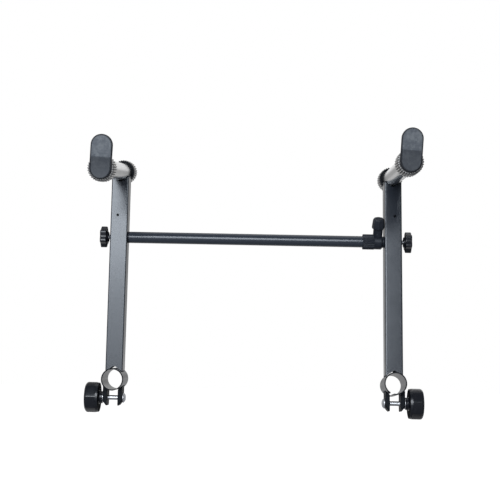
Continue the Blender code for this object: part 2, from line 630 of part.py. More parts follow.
def build_collar(bar):
    """Locking collar on the outer tube's end. Its knob presses a pad onto the inner tube."""
    axis = add_empty("collar_axis", (COLLAR_KNOB_X, 0, 0), (COLLAR_LEAN, 0, 0), bar)
    radius = COLLAR_DIAMETER / 2
    plain = radius - COLLAR_RIB_HEIGHT
    socket = BAR_RADIUS + FIT
    bore = INNER_DIAMETER / 2 + FIT
    ribs = COLLAR_LENGTH - COLLAR_RIBBED
    depth = COLLAR_LENGTH - COLLAR_SOCKET - FIT
    profile = [(bore, 0, 0), (bore, depth, 0), (socket, depth, 0), (socket, COLLAR_LENGTH, 0),
               (plain - COLLAR_RIB_HEIGHT, COLLAR_LENGTH, 0)]
    profile += [(radius, COLLAR_LENGTH - 2 * COLLAR_RIB_HEIGHT, COLLAR_RIB_HEIGHT),
                (radius, ribs, COLLAR_RIB_HEIGHT), (plain, ribs, 0), (plain, COLLAR_CHAMFER, 0),
                (plain - COLLAR_CHAMFER, 0, 0)]
    collar = add_piece("collar", fluted(profile, COLLAR_RIBS, 2, 2), "knob plastic", axis,
                       (COLLAR_KNOB_TO_END, 0, 0), ALONG_MINUS_X)
    boss_top = radius + BOSS_RISE
    boss_root = (bore + plain) / 2
    join(collar, rod(BOSS_DIAMETER, boss_top - boss_root, 28), (0, 0, (boss_top + boss_root) / 2))
    cut(collar, rod(COLLAR_SCREW + 2 * FIT, 2 * boss_top), (0, 0, boss_top + FIT))
    build_collar_knob(axis, boss_top + FIT)


def build_collar_knob(collar_axis, start):
    """Domed knob with a shallow dish in its top, its moulded screw, and the pad under the screw."""
    axis = add_empty("collar_knob_axis", (0, 0, start), (0, 0, 0), collar_axis)
    pad_bottom = INNER_DIAMETER / 2 + FIT
    screw_tip = pad_bottom + PAD_THICKNESS + FIT - start
    screw_head = screw_tip + COLLAR_SCREW_LENGTH
    radius = COLLAR_KNOB_DIAMETER / 2
    hub = BOSS_DIAMETER / 2
    hole = COLLAR_SCREW / 2 + FIT
    top = COLLAR_KNOB_HUB + COLLAR_KNOB_HEIGHT
    flute = COLLAR_KNOB_FLUTE
    dish = COLLAR_KNOB_DISH / 2
    floor = top - COLLAR_KNOB_DISH_DEPTH
    base = COLLAR_KNOB_HUB
    profile = [(0, floor, 0), (dish - COLLAR_KNOB_DISH_DEPTH, floor, 0)]
    profile += rounding(COLLAR_KNOB_TOP_DIAMETER / 2, top, COLLAR_KNOB_ROUNDING, flute, 4)
    profile += [(radius, base + 3 * MM, flute), (radius - 0.7 * MM, base + 1 * MM, flute)]
    profile += [(radius - 2 * MM, base, 0), (hub, base, 0), (hub, 0, 0),
                (hole, 0, 0), (hole, screw_head + FIT, 0), (0, screw_head + FIT, 0)]
    add_piece("collar_knob", fluted(profile, COLLAR_KNOB_LOBES, 2, 4), "knob plastic", axis)
    r = COLLAR_SCREW / 2
    screw = turned([(0, screw_head), (r, screw_head), (r, screw_tip + 0.6 * MM), (r - 0.6 * MM, screw_tip),
                    (0, screw_tip)], 16)
    add_piece("collar_screw", screw, "zinc", axis)
    pad = rod(COLLAR_SCREW - FIT, PAD_THICKNESS, 16)
    add_piece("collar_pad", pad, "nylon", collar_axis, (0, 0, pad_bottom + PAD_THICKNESS / 2))


build_frame("left", -1, 0.0, FINISH_HOLE_RISES[0])
build_frame("right", 1, RIGHT_FRAME_TURN, FINISH_HOLE_RISES[1])
bar_axis = add_empty("bar_axis", (0, 0, BAR_HEIGHT))
slide_axis = add_empty("slide_axis", (0, 0, 0), (0, 0, 0), bar_axis)
build_bar(bar_axis, slide_axis)
build_collar(bar_axis)
bpy.context.view_layer.update()
print("second tier:", len([item for item in parts.objects if item.type == "MESH"]), "parts")
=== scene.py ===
# Looks for the upper tier of a keyboard stand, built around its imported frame. Metres, +Z up.
# Every side frame is worked out about the cross bar's axis, then turned and moved to its own side.

import json
import math

import bmesh
import bpy
import numpy as np
from mathutils import Matrix


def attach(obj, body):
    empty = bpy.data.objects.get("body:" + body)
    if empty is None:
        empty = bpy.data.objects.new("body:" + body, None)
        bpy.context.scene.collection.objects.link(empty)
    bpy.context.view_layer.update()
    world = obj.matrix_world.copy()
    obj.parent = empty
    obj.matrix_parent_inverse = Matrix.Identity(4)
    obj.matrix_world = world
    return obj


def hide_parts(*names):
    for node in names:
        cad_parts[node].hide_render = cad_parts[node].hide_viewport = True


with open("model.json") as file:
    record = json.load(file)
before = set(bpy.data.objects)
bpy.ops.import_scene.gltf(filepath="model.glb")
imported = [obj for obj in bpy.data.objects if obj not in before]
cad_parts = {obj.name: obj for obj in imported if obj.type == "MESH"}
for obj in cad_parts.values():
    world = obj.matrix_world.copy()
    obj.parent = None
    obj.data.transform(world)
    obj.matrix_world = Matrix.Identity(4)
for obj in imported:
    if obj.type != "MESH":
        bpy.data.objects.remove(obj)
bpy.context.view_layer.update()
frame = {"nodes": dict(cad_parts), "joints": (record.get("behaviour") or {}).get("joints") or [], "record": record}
mm = 0.001
fit = 0.3 * mm
print("frame loaded:", len(frame["nodes"]), "nodes")

# The sides: where each frame hangs on the cross bar, and how far it is turned about it
joints = {joint["name"]: joint for joint in frame["joints"]}
mounts = {mount["name"]: mount for mount in frame["record"]["mounts"]}


def turnOf(side):
    # Angle about X from the direction that the upright's front face looks in
    direction = mounts[side + "_upright_front"]["axis"]
    return -math.atan2(direction[2], -direction[1])


sides = {"left": {"out": -1, "hub": np.array(joints["bar_turn"]["pos_m"]), "turn": turnOf("left"),
                  "holeRise": 37.5 * mm},
         "right": {"out": 1, "hub": np.array(joints["right_frame_turn"]["pos_m"]), "turn": turnOf("right"),
                   "holeRise": 44 * mm}}
layout = {"armRise": 117 * mm,        # arm's axis above the cross bar
          "armTilt": math.radians(9),
          "capTurn": math.radians(3),     # both caps lean a little to the right
          "clampDrop": 248 * mm}      # clamp's axis below the cross bar


# Points, profiles and meshes

def turnAboutX(points, angle):
    # Rotation about X: y and z mix by the angle's sine and cosine
    c, s = math.cos(angle), math.sin(angle)
    return points @ np.array([[1, 0, 0], [0, c, -s], [0, s, c]]).T


def turnAboutY(points, angle):
    c, s = math.cos(angle), math.sin(angle)
    return points @ np.array([[c, 0, s], [0, 1, 0], [-s, 0, c]]).T


def pointAlong(points, axis):
    # Turns a piece that was worked out about Z so that its axis lies along X, -X, Y or -Y
    bases = {"x": [[0, 0, -1], [0, 1, 0], [1, 0, 0]], "-x": [[0, 0, 1], [0, 1, 0], [-1, 0, 0]],
             "y": [[1, 0, 0], [0, 0, -1], [0, 1, 0]], "-y": [[1, 0, 0], [0, 0, 1], [0, -1, 0]]}
    return points @ np.array(bases[axis], float)


def onSide(points, side):
    # Mirrors to the side's outward direction, turns about the cross bar, and moves to the hub
    place = sides[side]
    mirrored = points * np.array([place["out"], 1, 1])
    return turnAboutX(mirrored, place["turn"]) + place["hub"]


def onArm(points, side):
    # The same for a piece of the arm, whose own Y runs along the tilted arm
    lifted = turnAboutX(points, layout["armTilt"]) + np.array([0, 0, layout["armRise"]])
    return onSide(lifted, side)


def onClamp(points, side):
    return onSide(points - np.array([0, 0, layout["clampDrop"]]), side)


def filleted(corners, steps=5, closed=False):
    # A polyline of (a, b, fillet radius): each corner with a radius becomes an arc that touches both edges
    count = len(corners)
    line = []
    for index, (a, b, radius) in enumerate(corners):
        here = np.array([a, b], float)
        if radius <= 0 or (not closed and index in (0, count - 1)):
            line.append(here[None])
            continue
        before = np.array(corners[index - 1][:2]) - here
        after = np.array(corners[(index + 1) % count][:2]) - here
        lengths = [np.linalg.norm(before), np.linalg.norm(after)]
        before, after = before / lengths[0], after / lengths[1]
        half = math.acos(np.clip(before @ after, -1, 1)) / 2
        reach = min(radius / math.tan(half), 0.49 * min(lengths))
        radius = reach * math.tan(half)
        centre = here + (before + after) / np.linalg.norm(before + after) * radius / math.sin(half)
        first, last = here + before * reach - centre, here + after * reach - centre
        sweep = math.atan2(first[0] * last[1] - first[1] * last[0], first @ last)
        angles = np.linspace(0, sweep, steps + 1)[:, None]
        side = np.array([-first[1], first[0]])
        line.append(centre + first * np.cos(angles) + side * np.sin(angles))
    return np.concatenate(line)


def spread(values, count):
    # Evenly spaced values from the first to the last of a pair
    return np.linspace(values[0], values[1], count)


def lathe(profile, count=96, lobes=0, depth=None, sharpness=2.0, start=0.0):
    # Radius times cosine and sine of the angle. Lobes dip the radius by depth times a raised sine
    angles = np.linspace(0, 2 * math.pi, count, endpoint=False)[None, :]
    radius = np.repeat(profile[:, :1], count, 1)
    if lobes:
        dip = np.abs(np.sin(lobes * (angles - start) / 2)) ** sharpness
        radius = radius - np.broadcast_to(depth, profile[:, 0].shape)[:, None] * dip
    return np.stack([radius * np.cos(angles), radius * np.sin(angles),
                     np.repeat(profile[:, 1:2], count, 1)], -1)


def meshOf(name, rings, closed=False, tones=None):
    # Quads between neighbouring rings of points. A closed stack joins its last ring to its first,
    # and an open one is filled at both ends, where a ring on the axis closes to a pole. Tones are a
    # shade for each point, which its finish can read
    rows, columns = rings.shape[:2]
    number = np.arange(rows * columns).reshape(rows, columns)
    lower = number if closed else number[:-1]
    upper = np.roll(number, -1, 0) if closed else number[1:]
    quads = np.stack([lower, np.roll(lower, -1, 1), np.roll(upper, -1, 1), upper], -1)
    faces = quads.reshape(-1, 4).tolist()
    if not closed:
        faces += [number[0, ::-1].tolist(), number[-1].tolist()]
    mesh = bpy.data.meshes.new(name)
    mesh.from_pydata(rings.reshape(-1, 3).tolist(), [], faces)
    if tones is not None:
        mesh.attributes.new("tone", "FLOAT", "POINT").data.foreach_set("value", tones.ravel())
    work = bmesh.new()
    work.from_mesh(mesh)
    bmesh.ops.remove_doubles(work, verts=work.verts, dist=2e-6)
    bmesh.ops.dissolve_degenerate(work, edges=work.edges, dist=1e-6)
    bmesh.ops.recalc_face_normals(work, faces=work.faces)
    work.to_mesh(mesh)
    work.free()
    return mesh


def rod(diameter, start, end, count=48):
    # A plain cylinder along Z
    r = diameter / 2
    return lathe(np.array([(0, start), (r, start), (r, end), (0, end)]), count)


def carved(mesh, cutters):
    # The mesh with the cutters' shapes taken away, as a new mesh
    holder = bpy.data.objects.new("carving", mesh)
    bpy.context.scene.collection.objects.link(holder)
    tools = []
    for rings in cutters:
        tool = bpy.data.objects.new("carvingTool", meshOf("carvingTool", rings))
        bpy.context.scene.collection.objects.link(tool)
        step = holder.modifiers.new("cut", "BOOLEAN")
        step.operation = "DIFFERENCE"
        step.object = tool
        tools.append(tool)
    bpy.context.view_layer.update()
    result = bpy.data.meshes.new_from_object(holder.evaluated_get(bpy.context.evaluated_depsgraph_get()))
    for item in [holder, *tools]:
        bpy.data.objects.remove(item)
    return result


def addPiece(name, rings, finish, body, nodes, closed=False, sharp=40, bevel=0.0):
    # Puts the rings into an object with its finish, which rides on its body
    return addMesh(name, meshOf(name, rings, closed), finish, body, nodes, sharp, bevel)


def addMesh(name, mesh, finish, body, nodes, sharp=40, bevel=0.0):
    mesh.shade_smooth()
    mesh.set_sharp_from_angle(angle=math.radians(sharp))
    piece = bpy.data.objects.new(name, mesh)
    bpy.context.scene.collection.objects.link(piece)
    if bevel:
        rounding = piece.modifiers.new("edge", "BEVEL")
        rounding.width = bevel
        rounding.segments = 2
        rounding.limit_method = "ANGLE"
        rounding.angle_limit = math.radians(40)
        rounding.harden_normals = False
    even = piece.modifiers.new("evenShading", "WEIGHTED_NORMAL")     # small rims don't bend the long faces' shading
    even.keep_sharp = True
    mesh.materials.append(finishes[finish])
    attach(piece, body)
    if nodes:
        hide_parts(*nodes)
    return piece


def recoat(piece, finish, *ways):
    # Gives a second finish to the faces that look along one of the ways, within 25 degrees
    mesh = piece.data
    normals = np.empty(len(mesh.polygons) * 3)
    mesh.polygons.foreach_get("normal", normals)
    along = (normals.reshape(-1, 3) @ np.array(ways, float).T).max(axis=1)
    mesh.materials.append(finishes[finish])
    mesh.polygons.foreach_set("material_index", (along > 0.9).astype(np.int32))


# Shader maths: an expression on these adds the nodes for it

class Wire:
    def __init__(self, tree, socket):
        self.tree = tree
        self.socket = socket

    def math(self, operation, *others):
        return addNode(self.tree, "ShaderNodeMath", {"operation": operation}, [self, *others])

    def __add__(self, other):
        return self.math("ADD", other)

    def __mul__(self, other):
        return self.math("MULTIPLY", other)

    def __sub__(self, other):
        return self.math("SUBTRACT", other)

    def __rsub__(self, other):
        return addNode(self.tree, "ShaderNodeMath", {"operation": "SUBTRACT"}, [other, self])

    def __pow__(self, other):
        return self.math("POWER", other)

    __radd__ = __add__
    __rmul__ = __mul__

    def between(self, low, high):
        # 0 below low, 1 above high, and smooth between
        return addNode(self.tree, "ShaderNodeMapRange", {"interpolation_type": "SMOOTHSTEP"},
                       {"Value": self, "From Min": low, "From Max": high}, "Result")


def addNode(tree, kind, settings, inputs, output=0):
    # Adds one node: its settings first, then the values or links of its sockets
    node = tree.nodes.new(kind)
    for key, value in settings.items():
        setattr(node, key, value)
    pairs = inputs.items() if isinstance(inputs, dict) else enumerate(inputs)
    for key, value in pairs:
        socket = node.inputs[key]
        if isinstance(value, Wire):
            tree.links.new(value.socket, socket)
        else:
            socket.default_value = value
    return Wire(tree, node.outputs[output])


class Finish:
    # A Principled material whose patterns read Object coordinates, in metres
    def __init__(self, name, **constants):
        self.material = bpy.data.materials.new(name)
        self.material.use_nodes = True
        self.tree = self.material.node_tree
        self.shader = self.tree.nodes["Principled BSDF"]
        self.place = addNode(self.tree, "ShaderNodeTexCoord", {}, {}, "Object")
        for key, value in constants.items():
            self.shader.inputs[key.replace("_", " ")].default_value = value

    def noise(self, scale, detail=2.0, roughness=0.5, stretch=(1, 1, 1)):
        spot = self.place
        if stretch != (1, 1, 1):
            spot = addNode(self.tree, "ShaderNodeMapping", {}, {"Vector": spot, "Scale": stretch})
        return addNode(self.tree, "ShaderNodeTexNoise", {}, {"Vector": spot, "Scale": scale, "Detail": detail,
                                                             "Roughness": roughness}, "Fac")

    def mix(self, factor, first, second):
        node = self.tree.nodes.new("ShaderNodeMix")
        node.data_type = "RGBA"
        for index, value in ((0, factor), (6, first), (7, second)):
            if isinstance(value, Wire):
                self.tree.links.new(value.socket, node.inputs[index])
            else:
                node.inputs[index].default_value = value if index == 0 else (*value[:3], 1)
        return Wire(self.tree, node.outputs[2])

    def drive(self, socket, wire):
        self.tree.links.new(wire.socket, self.shader.inputs[socket])

    def tone(self):
        # A piece's own shading, kept with its points
        return addNode(self.tree, "ShaderNodeAttribute", {"attribute_name": "tone"}, {}, "Fac")

    def bump(self, height, strength, distance):
        bumped = addNode(self.tree, "ShaderNodeBump", {}, {"Strength": strength, "Distance": distance,
                                                           "Height": height})
        self.drive("Normal", bumped)


# Finishes

coolTint = (0.90, 0.95, 1.0, 1.0)     # the black finishes all reflect a little bluish
coatLook = {"colour": (0.009, 0.012, 0.018), "dusty": (0.024, 0.029, 0.038), "roughness": 0.21, "gloss": 0.49}
# Darker and matt: the lugs' coat, and on the sleeves' end faces a painted shade
darkMattLook = {"colour": (0.003, 0.004, 0.006), "dusty": (0.009, 0.011, 0.014), "roughness": 0.50, "gloss": 0.08}
sleeveLook = {"colour": (0.012, 0.014, 0.017), "dusty": (0.026, 0.029, 0.034), "roughness": 0.30, "gloss": 0.6, "coat": 0.1}
armLook = {"colour": (0.014, 0.015, 0.017), "dusty": (0.035, 0.036, 0.038), "roughness": 0.20, "gloss": 0.9, "coat": 1.0}


def makeCoat(name, look):
    # Satin powder coat: fine orange peel, a little dust, and a roughness that drifts over the tube
    coat = Finish(name, IOR=1.5, Specular_IOR_Level=look["gloss"], Specular_Tint=coolTint,
                  Coat_Weight=look.get("coat", 0.0), Coat_Roughness=look["roughness"])
    peel = coat.noise(1100, 2.0, 0.55)
    drift = coat.noise(38, 3.0, 0.6)
    specks = coat.noise(2600, 1.0, 0.4).between(0.66, 0.74)
    coat.drive("Base Color", coat.mix(specks * 0.6 + drift * 0.25, look["colour"], look["dusty"]))
    coat.drive("Roughness", drift * 0.08 + specks * 0.10 + (look["roughness"] - 0.04))
    coat.bump(peel + coat.noise(300, 1.0, 0.5) * 0.5, look.get("peel", 0.10), 0.00010)
    return coat.material


barLook = {"colour": (0.020, 0.025, 0.034), "dusty": (0.028, 0.033, 0.043), "roughness": 0.17, "gloss": 0.35,
           "peel": 0.0}
# The cap's darkest colour is painted shade, on the rim and over the hollow
capLook = {"deep": (0.004, 0.005, 0.008), "colour": (0.030, 0.036, 0.046), "scuffed": (0.085, 0.094, 0.104),
           "gloss": 0.30}


def makeCapPlastic():
    # Dark grey moulded plastic with a spark-eroded grain and pale scuffs where hands rub it. Its tone is painted
    # light and shade: from 0, painted shade, on the rim, over the darker hollow, to 1 on the upper face, painted
    # lighter as a sheen
    plastic = Finish("capPlastic", IOR=1.48, Specular_IOR_Level=capLook["gloss"], Specular_Tint=coolTint)
    grain = plastic.noise(2400, 2.0, 0.6)
    cloud = plastic.noise(110, 4.0, 0.7).between(0.40, 0.68)
    worn = plastic.mix(cloud * 0.8, capLook["colour"], capLook["scuffed"])
    # The tone lays painted shade on the rim and hollow and a painted sheen on the upper face
    plastic.drive("Base Color", plastic.mix(plastic.tone(), capLook["deep"], worn))
    plastic.drive("Roughness", grain * 0.10 + cloud * 0.10 + 0.34 + (1 - plastic.tone()) * 0.20)
    plastic.bump(grain + plastic.noise(420, 2.0, 0.5), 0.30, 0.00016)
    return plastic.material


knobLook = {"colour": (0.005, 0.006, 0.009), "worn": (0.012, 0.013, 0.017), "roughness": 0.30, "gloss": 0.22, "coat": 0.3}
mouldLook = {"colour": (0.010, 0.0125, 0.018), "worn": (0.019, 0.022, 0.029), "roughness": 0.36, "gloss": 0.20}
# A darker, matt copy of the knob plastic for the knobs' inward sides, where its darker colour is painted shade
dullShadeLook = {"colour": (0.004, 0.005, 0.007), "worn": (0.009, 0.010, 0.013), "roughness": 0.70, "gloss": 0.02}


def makeKnobPlastic(name, look):
    # Black plastic, duller in patches, with faint flow marks from the mould
    plastic = Finish(name, IOR=1.50, Specular_IOR_Level=look["gloss"], Specular_Tint=coolTint,
                     Coat_Weight=look.get("coat", 0.0), Coat_Roughness=0.08)
    cloud = plastic.noise(90, 3.0, 0.6)
    flow = plastic.noise(500, 2.0, 0.5)
    plastic.drive("Base Color", plastic.mix(cloud.between(0.45, 0.75) * 0.5, look["colour"], look["worn"]))
    plastic.drive("Roughness", cloud * 0.05 + flow * 0.02 + look["roughness"])
    plastic.bump(flow, 0.02, 0.0001)
    return plastic.material


rubberLook = {"colour": (0.026, 0.026, 0.026), "bloom": (0.075, 0.075, 0.074), "roughness": 0.25, "gloss": 0.5}
# The darker rubber is painted shade, in the grips' grooves and on the rear grips' end faces
rubberShadeLook = {"colour": (0.003, 0.004, 0.006), "bloom": (0.010, 0.011, 0.014), "roughness": 0.55, "gloss": 0.05}


def makeRubber(name, look):
    # Black rubber with a dry grain and a pale bloom in patches. Its tone goes from 0 in the grooves, which
    # stay matt and take a dark painted shade, to 1 on the ribs, which are polished by handling
    rubber = Finish(name, IOR=1.50, Specular_IOR_Level=look["gloss"], Coat_Roughness=look["roughness"])
    grain = rubber.noise(3000, 2.0, 0.7)
    crest = rubber.tone()
    bloom = rubber.noise(140, 4.0, 0.65).between(0.45, 0.72)
    skin = rubber.mix(bloom * 0.4, look["colour"], look["bloom"])
    # The grooves take the darker rubber colour as painted shade
    rubber.drive("Base Color", rubber.mix(crest, rubberShadeLook["colour"], skin))
    rubber.drive("Roughness", bloom * 0.06 + grain * 0.04 + (1 - crest) * 0.4 + look["roughness"])
    rubber.drive("Coat Weight", crest * look["gloss"] * 1.8)
    rubber.bump(grain, 0.10, 0.00006)
    return rubber.material


zincLook = {"bright": (0.60, 0.61, 0.63), "dull": (0.42, 0.44, 0.47)}


def makeZinc():
    # Bright zinc plate: metal with cloudy passivation and fine drawing lines round the shank
    zinc = Finish("zincPlate", Metallic=1.0)
    cloud = zinc.noise(260, 3.0, 0.6)
    lines = zinc.noise(900, 2.0, 0.5, (6, 1, 1))
    zinc.drive("Base Color", zinc.mix(cloud, zincLook["bright"], zincLook["dull"]))
    zinc.drive("Roughness", cloud * 0.10 + lines * 0.06 + 0.36)
    zinc.bump(lines, 0.02, 0.00003)
    return zinc.material


def makeBrass():
    # Turned brass with fine tool marks
    brass = Finish("turnedBrass", Metallic=1.0)
    marks = brass.noise(1400, 2.0, 0.5, (5, 1, 1))
    brass.drive("Base Color", brass.mix(marks, (0.80, 0.62, 0.33), (0.62, 0.45, 0.22)))
    brass.drive("Roughness", marks * 0.2 + 0.2)
    return brass.material


def makeNylon():
    # Undyed nylon, slightly yellow, with a waxy drift in its gloss
    nylon = Finish("nylon", IOR=1.53)
    cloud = nylon.noise(220, 3.0, 0.6)
    nylon.drive("Base Color", nylon.mix(cloud, (0.60, 0.59, 0.54), (0.48, 0.47, 0.42)))
    nylon.drive("Roughness", cloud * 0.2 + 0.38)
    return nylon.material


finishes = {"coat": makeCoat("frameCoat", coatLook), "cast": makeCoat("lugCoat", darkMattLook),
            "sleeve": makeCoat("sleeveCoat", sleeveLook), "arm": makeCoat("armCoat", armLook), "bar": makeCoat("barCoat", barLook), "cap": makeCapPlastic(),
            "knob": makeKnobPlastic("knobPlastic", knobLook), "dull": makeKnobPlastic("dullPlastic", dullShadeLook), "mould": makeKnobPlastic("mouldPlastic", mouldLook), "cutRubber": makeRubber("cutRubber", rubberShadeLook), "rubber": makeRubber("gripRubber", rubberLook), "zinc": makeZinc(), "brass": makeBrass(),
            "nylon": makeNylon()}
slots = {"sleeve": "frame_coat", "arm": "frame_coat", "cast": "frame_coat", "dull": "knob_plastic", "mould": "knob_plastic", "cutRubber": "rubber", "coat": "frame_coat", "bar": "bar_coat", "cap": "cap_plastic",
         "knob": "knob_plastic", "rubber": "rubber", "zinc": "zinc", "brass": "brass", "nylon": "nylon"}
finishOfSlot = {slot: finish for finish, slot in slots.items()}     # the last finish named for a slot
for part in frame["record"]["subparts"]:
    node = frame["nodes"][part["node"]]
    node.data.materials.clear()
    node.data.materials.append(finishes[finishOfSlot[part["material_slot"]]])
print("finishes made:", len(finishes))


# Uprights

upright = {"width": 30 * mm, "wall": 1.5 * mm, "corner": 2 * mm, "notchHalfAngle": math.radians(57),
           "hole": 4.5 * mm, "holeOffset": 2.7 * mm}
stud = 8 * mm     # thread of the star knobs
arm = {"diameter": 30 * mm, "wall": 1.5 * mm, "front": 224 * mm, "back": 70 * mm}
sleeve = {"bore": 34 * mm, "wall": 2 * mm, "length": 65 * mm, "slit": 6 * mm, "slitOffset": 6 * mm}
saddle = sleeve["bore"] / 2 + sleeve["wall"]     # outer radius of the sleeve, which the upright's foot saddles


def squareOutline(width, corner, flat, arcSteps):
    # A square with arcs for corners, each flat side cut into equal steps, so that a point lies at its middle
    half = width / 2
    line = []
    for quarter in range(4):
        angle = quarter * math.pi / 2
        along = np.linspace(-(half - corner), half - corner, flat, endpoint=False)
        sideLine = np.stack([np.full(flat, half), along], -1)
        turn = np.linspace(0, math.pi / 2, arcSteps, endpoint=False)
        cornerLine = np.stack([half - corner + corner * np.cos(turn), half - corner + corner * np.sin(turn)], -1)
        piece = np.concatenate([sideLine, cornerLine])
        c, s = math.cos(angle), math.sin(angle)
        line.append(piece @ np.array([[c, s], [-s, c]]))
    return np.concatenate(line)


def notchDepth(x, saddled):
    # Height of the V cut from the saddled piece's axis: the apex, less the sideways distance by the
    # half angle's tangent, but no lower than where the side walls stop flat
    flat = upright["width"] / 2 - upright["wall"]
    slope = 1 / math.tan(upright["notchHalfAngle"])
    apex = (saddled + fit) / math.sin(upright["notchHalfAngle"])
    return apex - np.minimum(np.abs(x), flat) * slope


def uprightRings():
    # Outer skin from foot to head, then the inner skin back down. Each ring is slid along the tube so
    # that the first and the last one follow the V cuts
    outer = squareOutline(upright["width"], upright["corner"], 24, 6)
    inner = squareOutline(upright["width"] - 2 * upright["wall"], upright["corner"] - upright["wall"], 24, 6)
    share = np.linspace(0, 1, 60)[:, None]

    def skin(outline):
        x, y = outline[:, 0], outline[:, 1]
        low = -layout["clampDrop"] + notchDepth(x, saddle)
        tilt = layout["armTilt"]
        high = layout["armRise"] - (notchDepth(x, arm["diameter"] / 2) - y * math.sin(tilt)) / math.cos(tilt)
        z = low + (high - low) * share
        return np.stack([np.broadcast_to(x, z.shape), np.broadcast_to(y, z.shape), z], -1)

    return np.concatenate([skin(outer), skin(inner)[::-1]])


def buildUpright(side):
    # The finish hole and the stud's two holes are taken out as rods before the edges are rounded
    rings = uprightRings()
    front = -upright["width"] / 2
    wall = upright["wall"]
    finish = pointAlong(rod(upright["hole"], front - wall, front + 2 * wall), "y")
    finish = finish + np.array([upright["holeOffset"], 0, sides[side]["holeRise"]])
    passage = pointAlong(rod(stud + 2 * fit, -upright["width"], upright["width"]), "x")
    cutters = [onSide(finish, side), onSide(passage, side)]
    mesh = carved(meshOf(side + "Upright", onSide(rings, side), True), cutters)
    addMesh(side + "Upright", mesh, "coat", side + "_frame", [side + "_upright"], bevel=0.25 * mm)


# Arms with their stop caps, grips and back plugs

grip = {"length": 34 * mm, "diameter": 42 * mm, "ribs": 32, "ribHeight": 1.4 * mm, "edge": 2.0 * mm, "perRib": 14,
        "grooveShade": 0.8}
cap = {"thickness": 6 * mm, "width": 34 * mm, "rise": 35.6 * mm, "edge": 1.6 * mm, "dishDepth": 1.0 * mm,
       "dishTop": 18.5 * mm, "dishBottom": -15 * mm, "dishSag": 1.5 * mm, "rim": 1.2 * mm,
       # The dark rim and the hollow's tone set where the cap's painted shade lies
       "darkRim": (1.4 * mm, 2.8 * mm), "hollowTone": 0.42,
       "plugLength": 20 * mm, "plugWall": 2.5 * mm}
plug = {"flange": 3 * mm, "length": 14 * mm, "crown": 0.8 * mm, "wall": 2.5 * mm}


def buildArmTube(side):
    radius, wall = arm["diameter"] / 2, arm["wall"]
    ease = 0.35 * mm
    profile = filleted([(radius, arm["back"], ease), (radius, -arm["front"], ease), (radius - wall, -arm["front"], ease),
                        (radius - wall, arm["back"], ease)], 3, True)
    rings = pointAlong(lathe(profile, 128), "y")
    addPiece(side + "Arm", onArm(rings, side), "arm", side + "_frame", [side + "_arm"], closed=True)


def gripRings(start):
    # A ring whose outer radius rises and falls along a flattened cosine, once for each rib. The ribs
    # fade out over its faces, towards the bore. Its tones are painted shade, darker in the grooves
    radius, edge = grip["diameter"] / 2, grip["edge"]
    bore, end = arm["diameter"] / 2 + fit, start + grip["length"]
    profile = filleted([(radius, end, edge), (radius, start, edge), (radius / 2 + bore / 2, start, 0),
                        (bore, start, 0.3 * mm), (bore, end, 0.3 * mm), (radius / 2 + bore / 2, end, 0)], 6, True)
    outside = np.clip((profile[:, 0] - bore) / (radius - bore), 0, 1)
    count = grip["ribs"] * grip["perRib"]
    angles = np.linspace(0, 2 * math.pi, count, endpoint=False)
    wave = 0.5 - 0.5 * np.tanh(1.8 * np.cos(grip["ribs"] * angles)) / math.tanh(1.8)
    r = profile[:, :1] - grip["ribHeight"] * outside[:, None] * wave[None, :]
    rings = np.stack([r * np.cos(angles), r * np.sin(angles), np.repeat(profile[:, 1:2], count, 1)], -1)
    return rings, 1 - grip["grooveShade"] * np.minimum(2 * outside, 1)[:, None] * wave[None, :]


def buildGrips(side):
    behindUpright = (upright["width"] / 2 + fit) / math.cos(layout["armTilt"])
    for name, node, start in (("FrontGrip", "_front_grip", -arm["front"]), ("RearGrip", "_rear_grip", behindUpright)):
        rings, tones = gripRings(start)
        mesh = meshOf(side + name, onArm(pointAlong(rings, "y"), side), True, tones)
        piece = addMesh(side + name, mesh, "rubber", side + "_frame", [side + node], sharp=50)
        if name == "RearGrip":
            # The rear grip's end faces take the darker rubber as a painted shadow
            recoat(piece, "cutRubber", (0, -1, 0), (0, 1, 0))


def stadiumRings(insets, depths, straight=26, arcSteps=40):
    # Rings of a rounded plate: the middle line's nearest point plus the outline's direction times the
    # half width less the inset. depths gives each ring's distance behind the front face
    half = cap["width"] / 2
    turn = np.linspace(0, math.pi, arcSteps + 1)
    climb = np.linspace(0, 1, straight, endpoint=False)[1:]
    upper = np.stack([np.cos(turn), np.sin(turn), np.full(turn.shape, cap["rise"])], -1)
    down = np.stack([-np.ones(climb.shape), np.zeros(climb.shape), cap["rise"] * (1 - climb)], -1)
    lower = np.stack([-np.cos(turn), -np.sin(turn), np.zeros(turn.shape)], -1)
    up = np.stack([np.ones(climb.shape), np.zeros(climb.shape), cap["rise"] * climb], -1)
    outline = np.concatenate([upper, down, lower, up])
    reach = half - np.asarray(insets)[:, None]
    x = outline[None, :, 0] * reach
    z = outline[None, :, 2] + outline[None, :, 1] * reach
    y = np.broadcast_to(np.asarray(depths)[:, None], x.shape)
    return np.stack([x, y, z], -1)


def capRelief(x, z):
    # Depth of the hollow over the arm's end: one less the square of the height from its middle over its
    # half height. Its upper edge sags a little in the middle, and it fades out towards the rim
    sag = cap["dishSag"] * (1 - (x / (cap["width"] / 2)) ** 2)
    top, bottom = cap["dishTop"] - sag, cap["dishBottom"]
    share = (z - (top + bottom) / 2) / ((top - bottom) / 2)
    toRim = cap["width"] / 2 - cap["edge"] - np.hypot(x, np.minimum(z, 0))
    fade = np.clip(toRim / cap["rim"], 0, 1)
    return cap["dishDepth"] * np.clip(1 - share ** 2, 0, 1) * fade * (2 - fade)


def capPaintedShade(x, z):
    # Painted light and shade: dark within a rim's width of the edge, middling over the hollow, full above it, where
    # the face is painted lighter as a sheen
    middle = np.clip(z, 0, cap["rise"])
    toEdge = cap["width"] / 2 - np.hypot(x, z - middle)
    inside = np.clip((toEdge - cap["darkRim"][0]) / (cap["darkRim"][1] - cap["darkRim"][0]), 0, 1)
    above = np.clip((z - cap["dishTop"] + cap["dishSag"]) / (1.5 * mm) + 0.5, 0, 1)
    return inside * (cap["hollowTone"] + (1 - cap["hollowTone"]) * above)


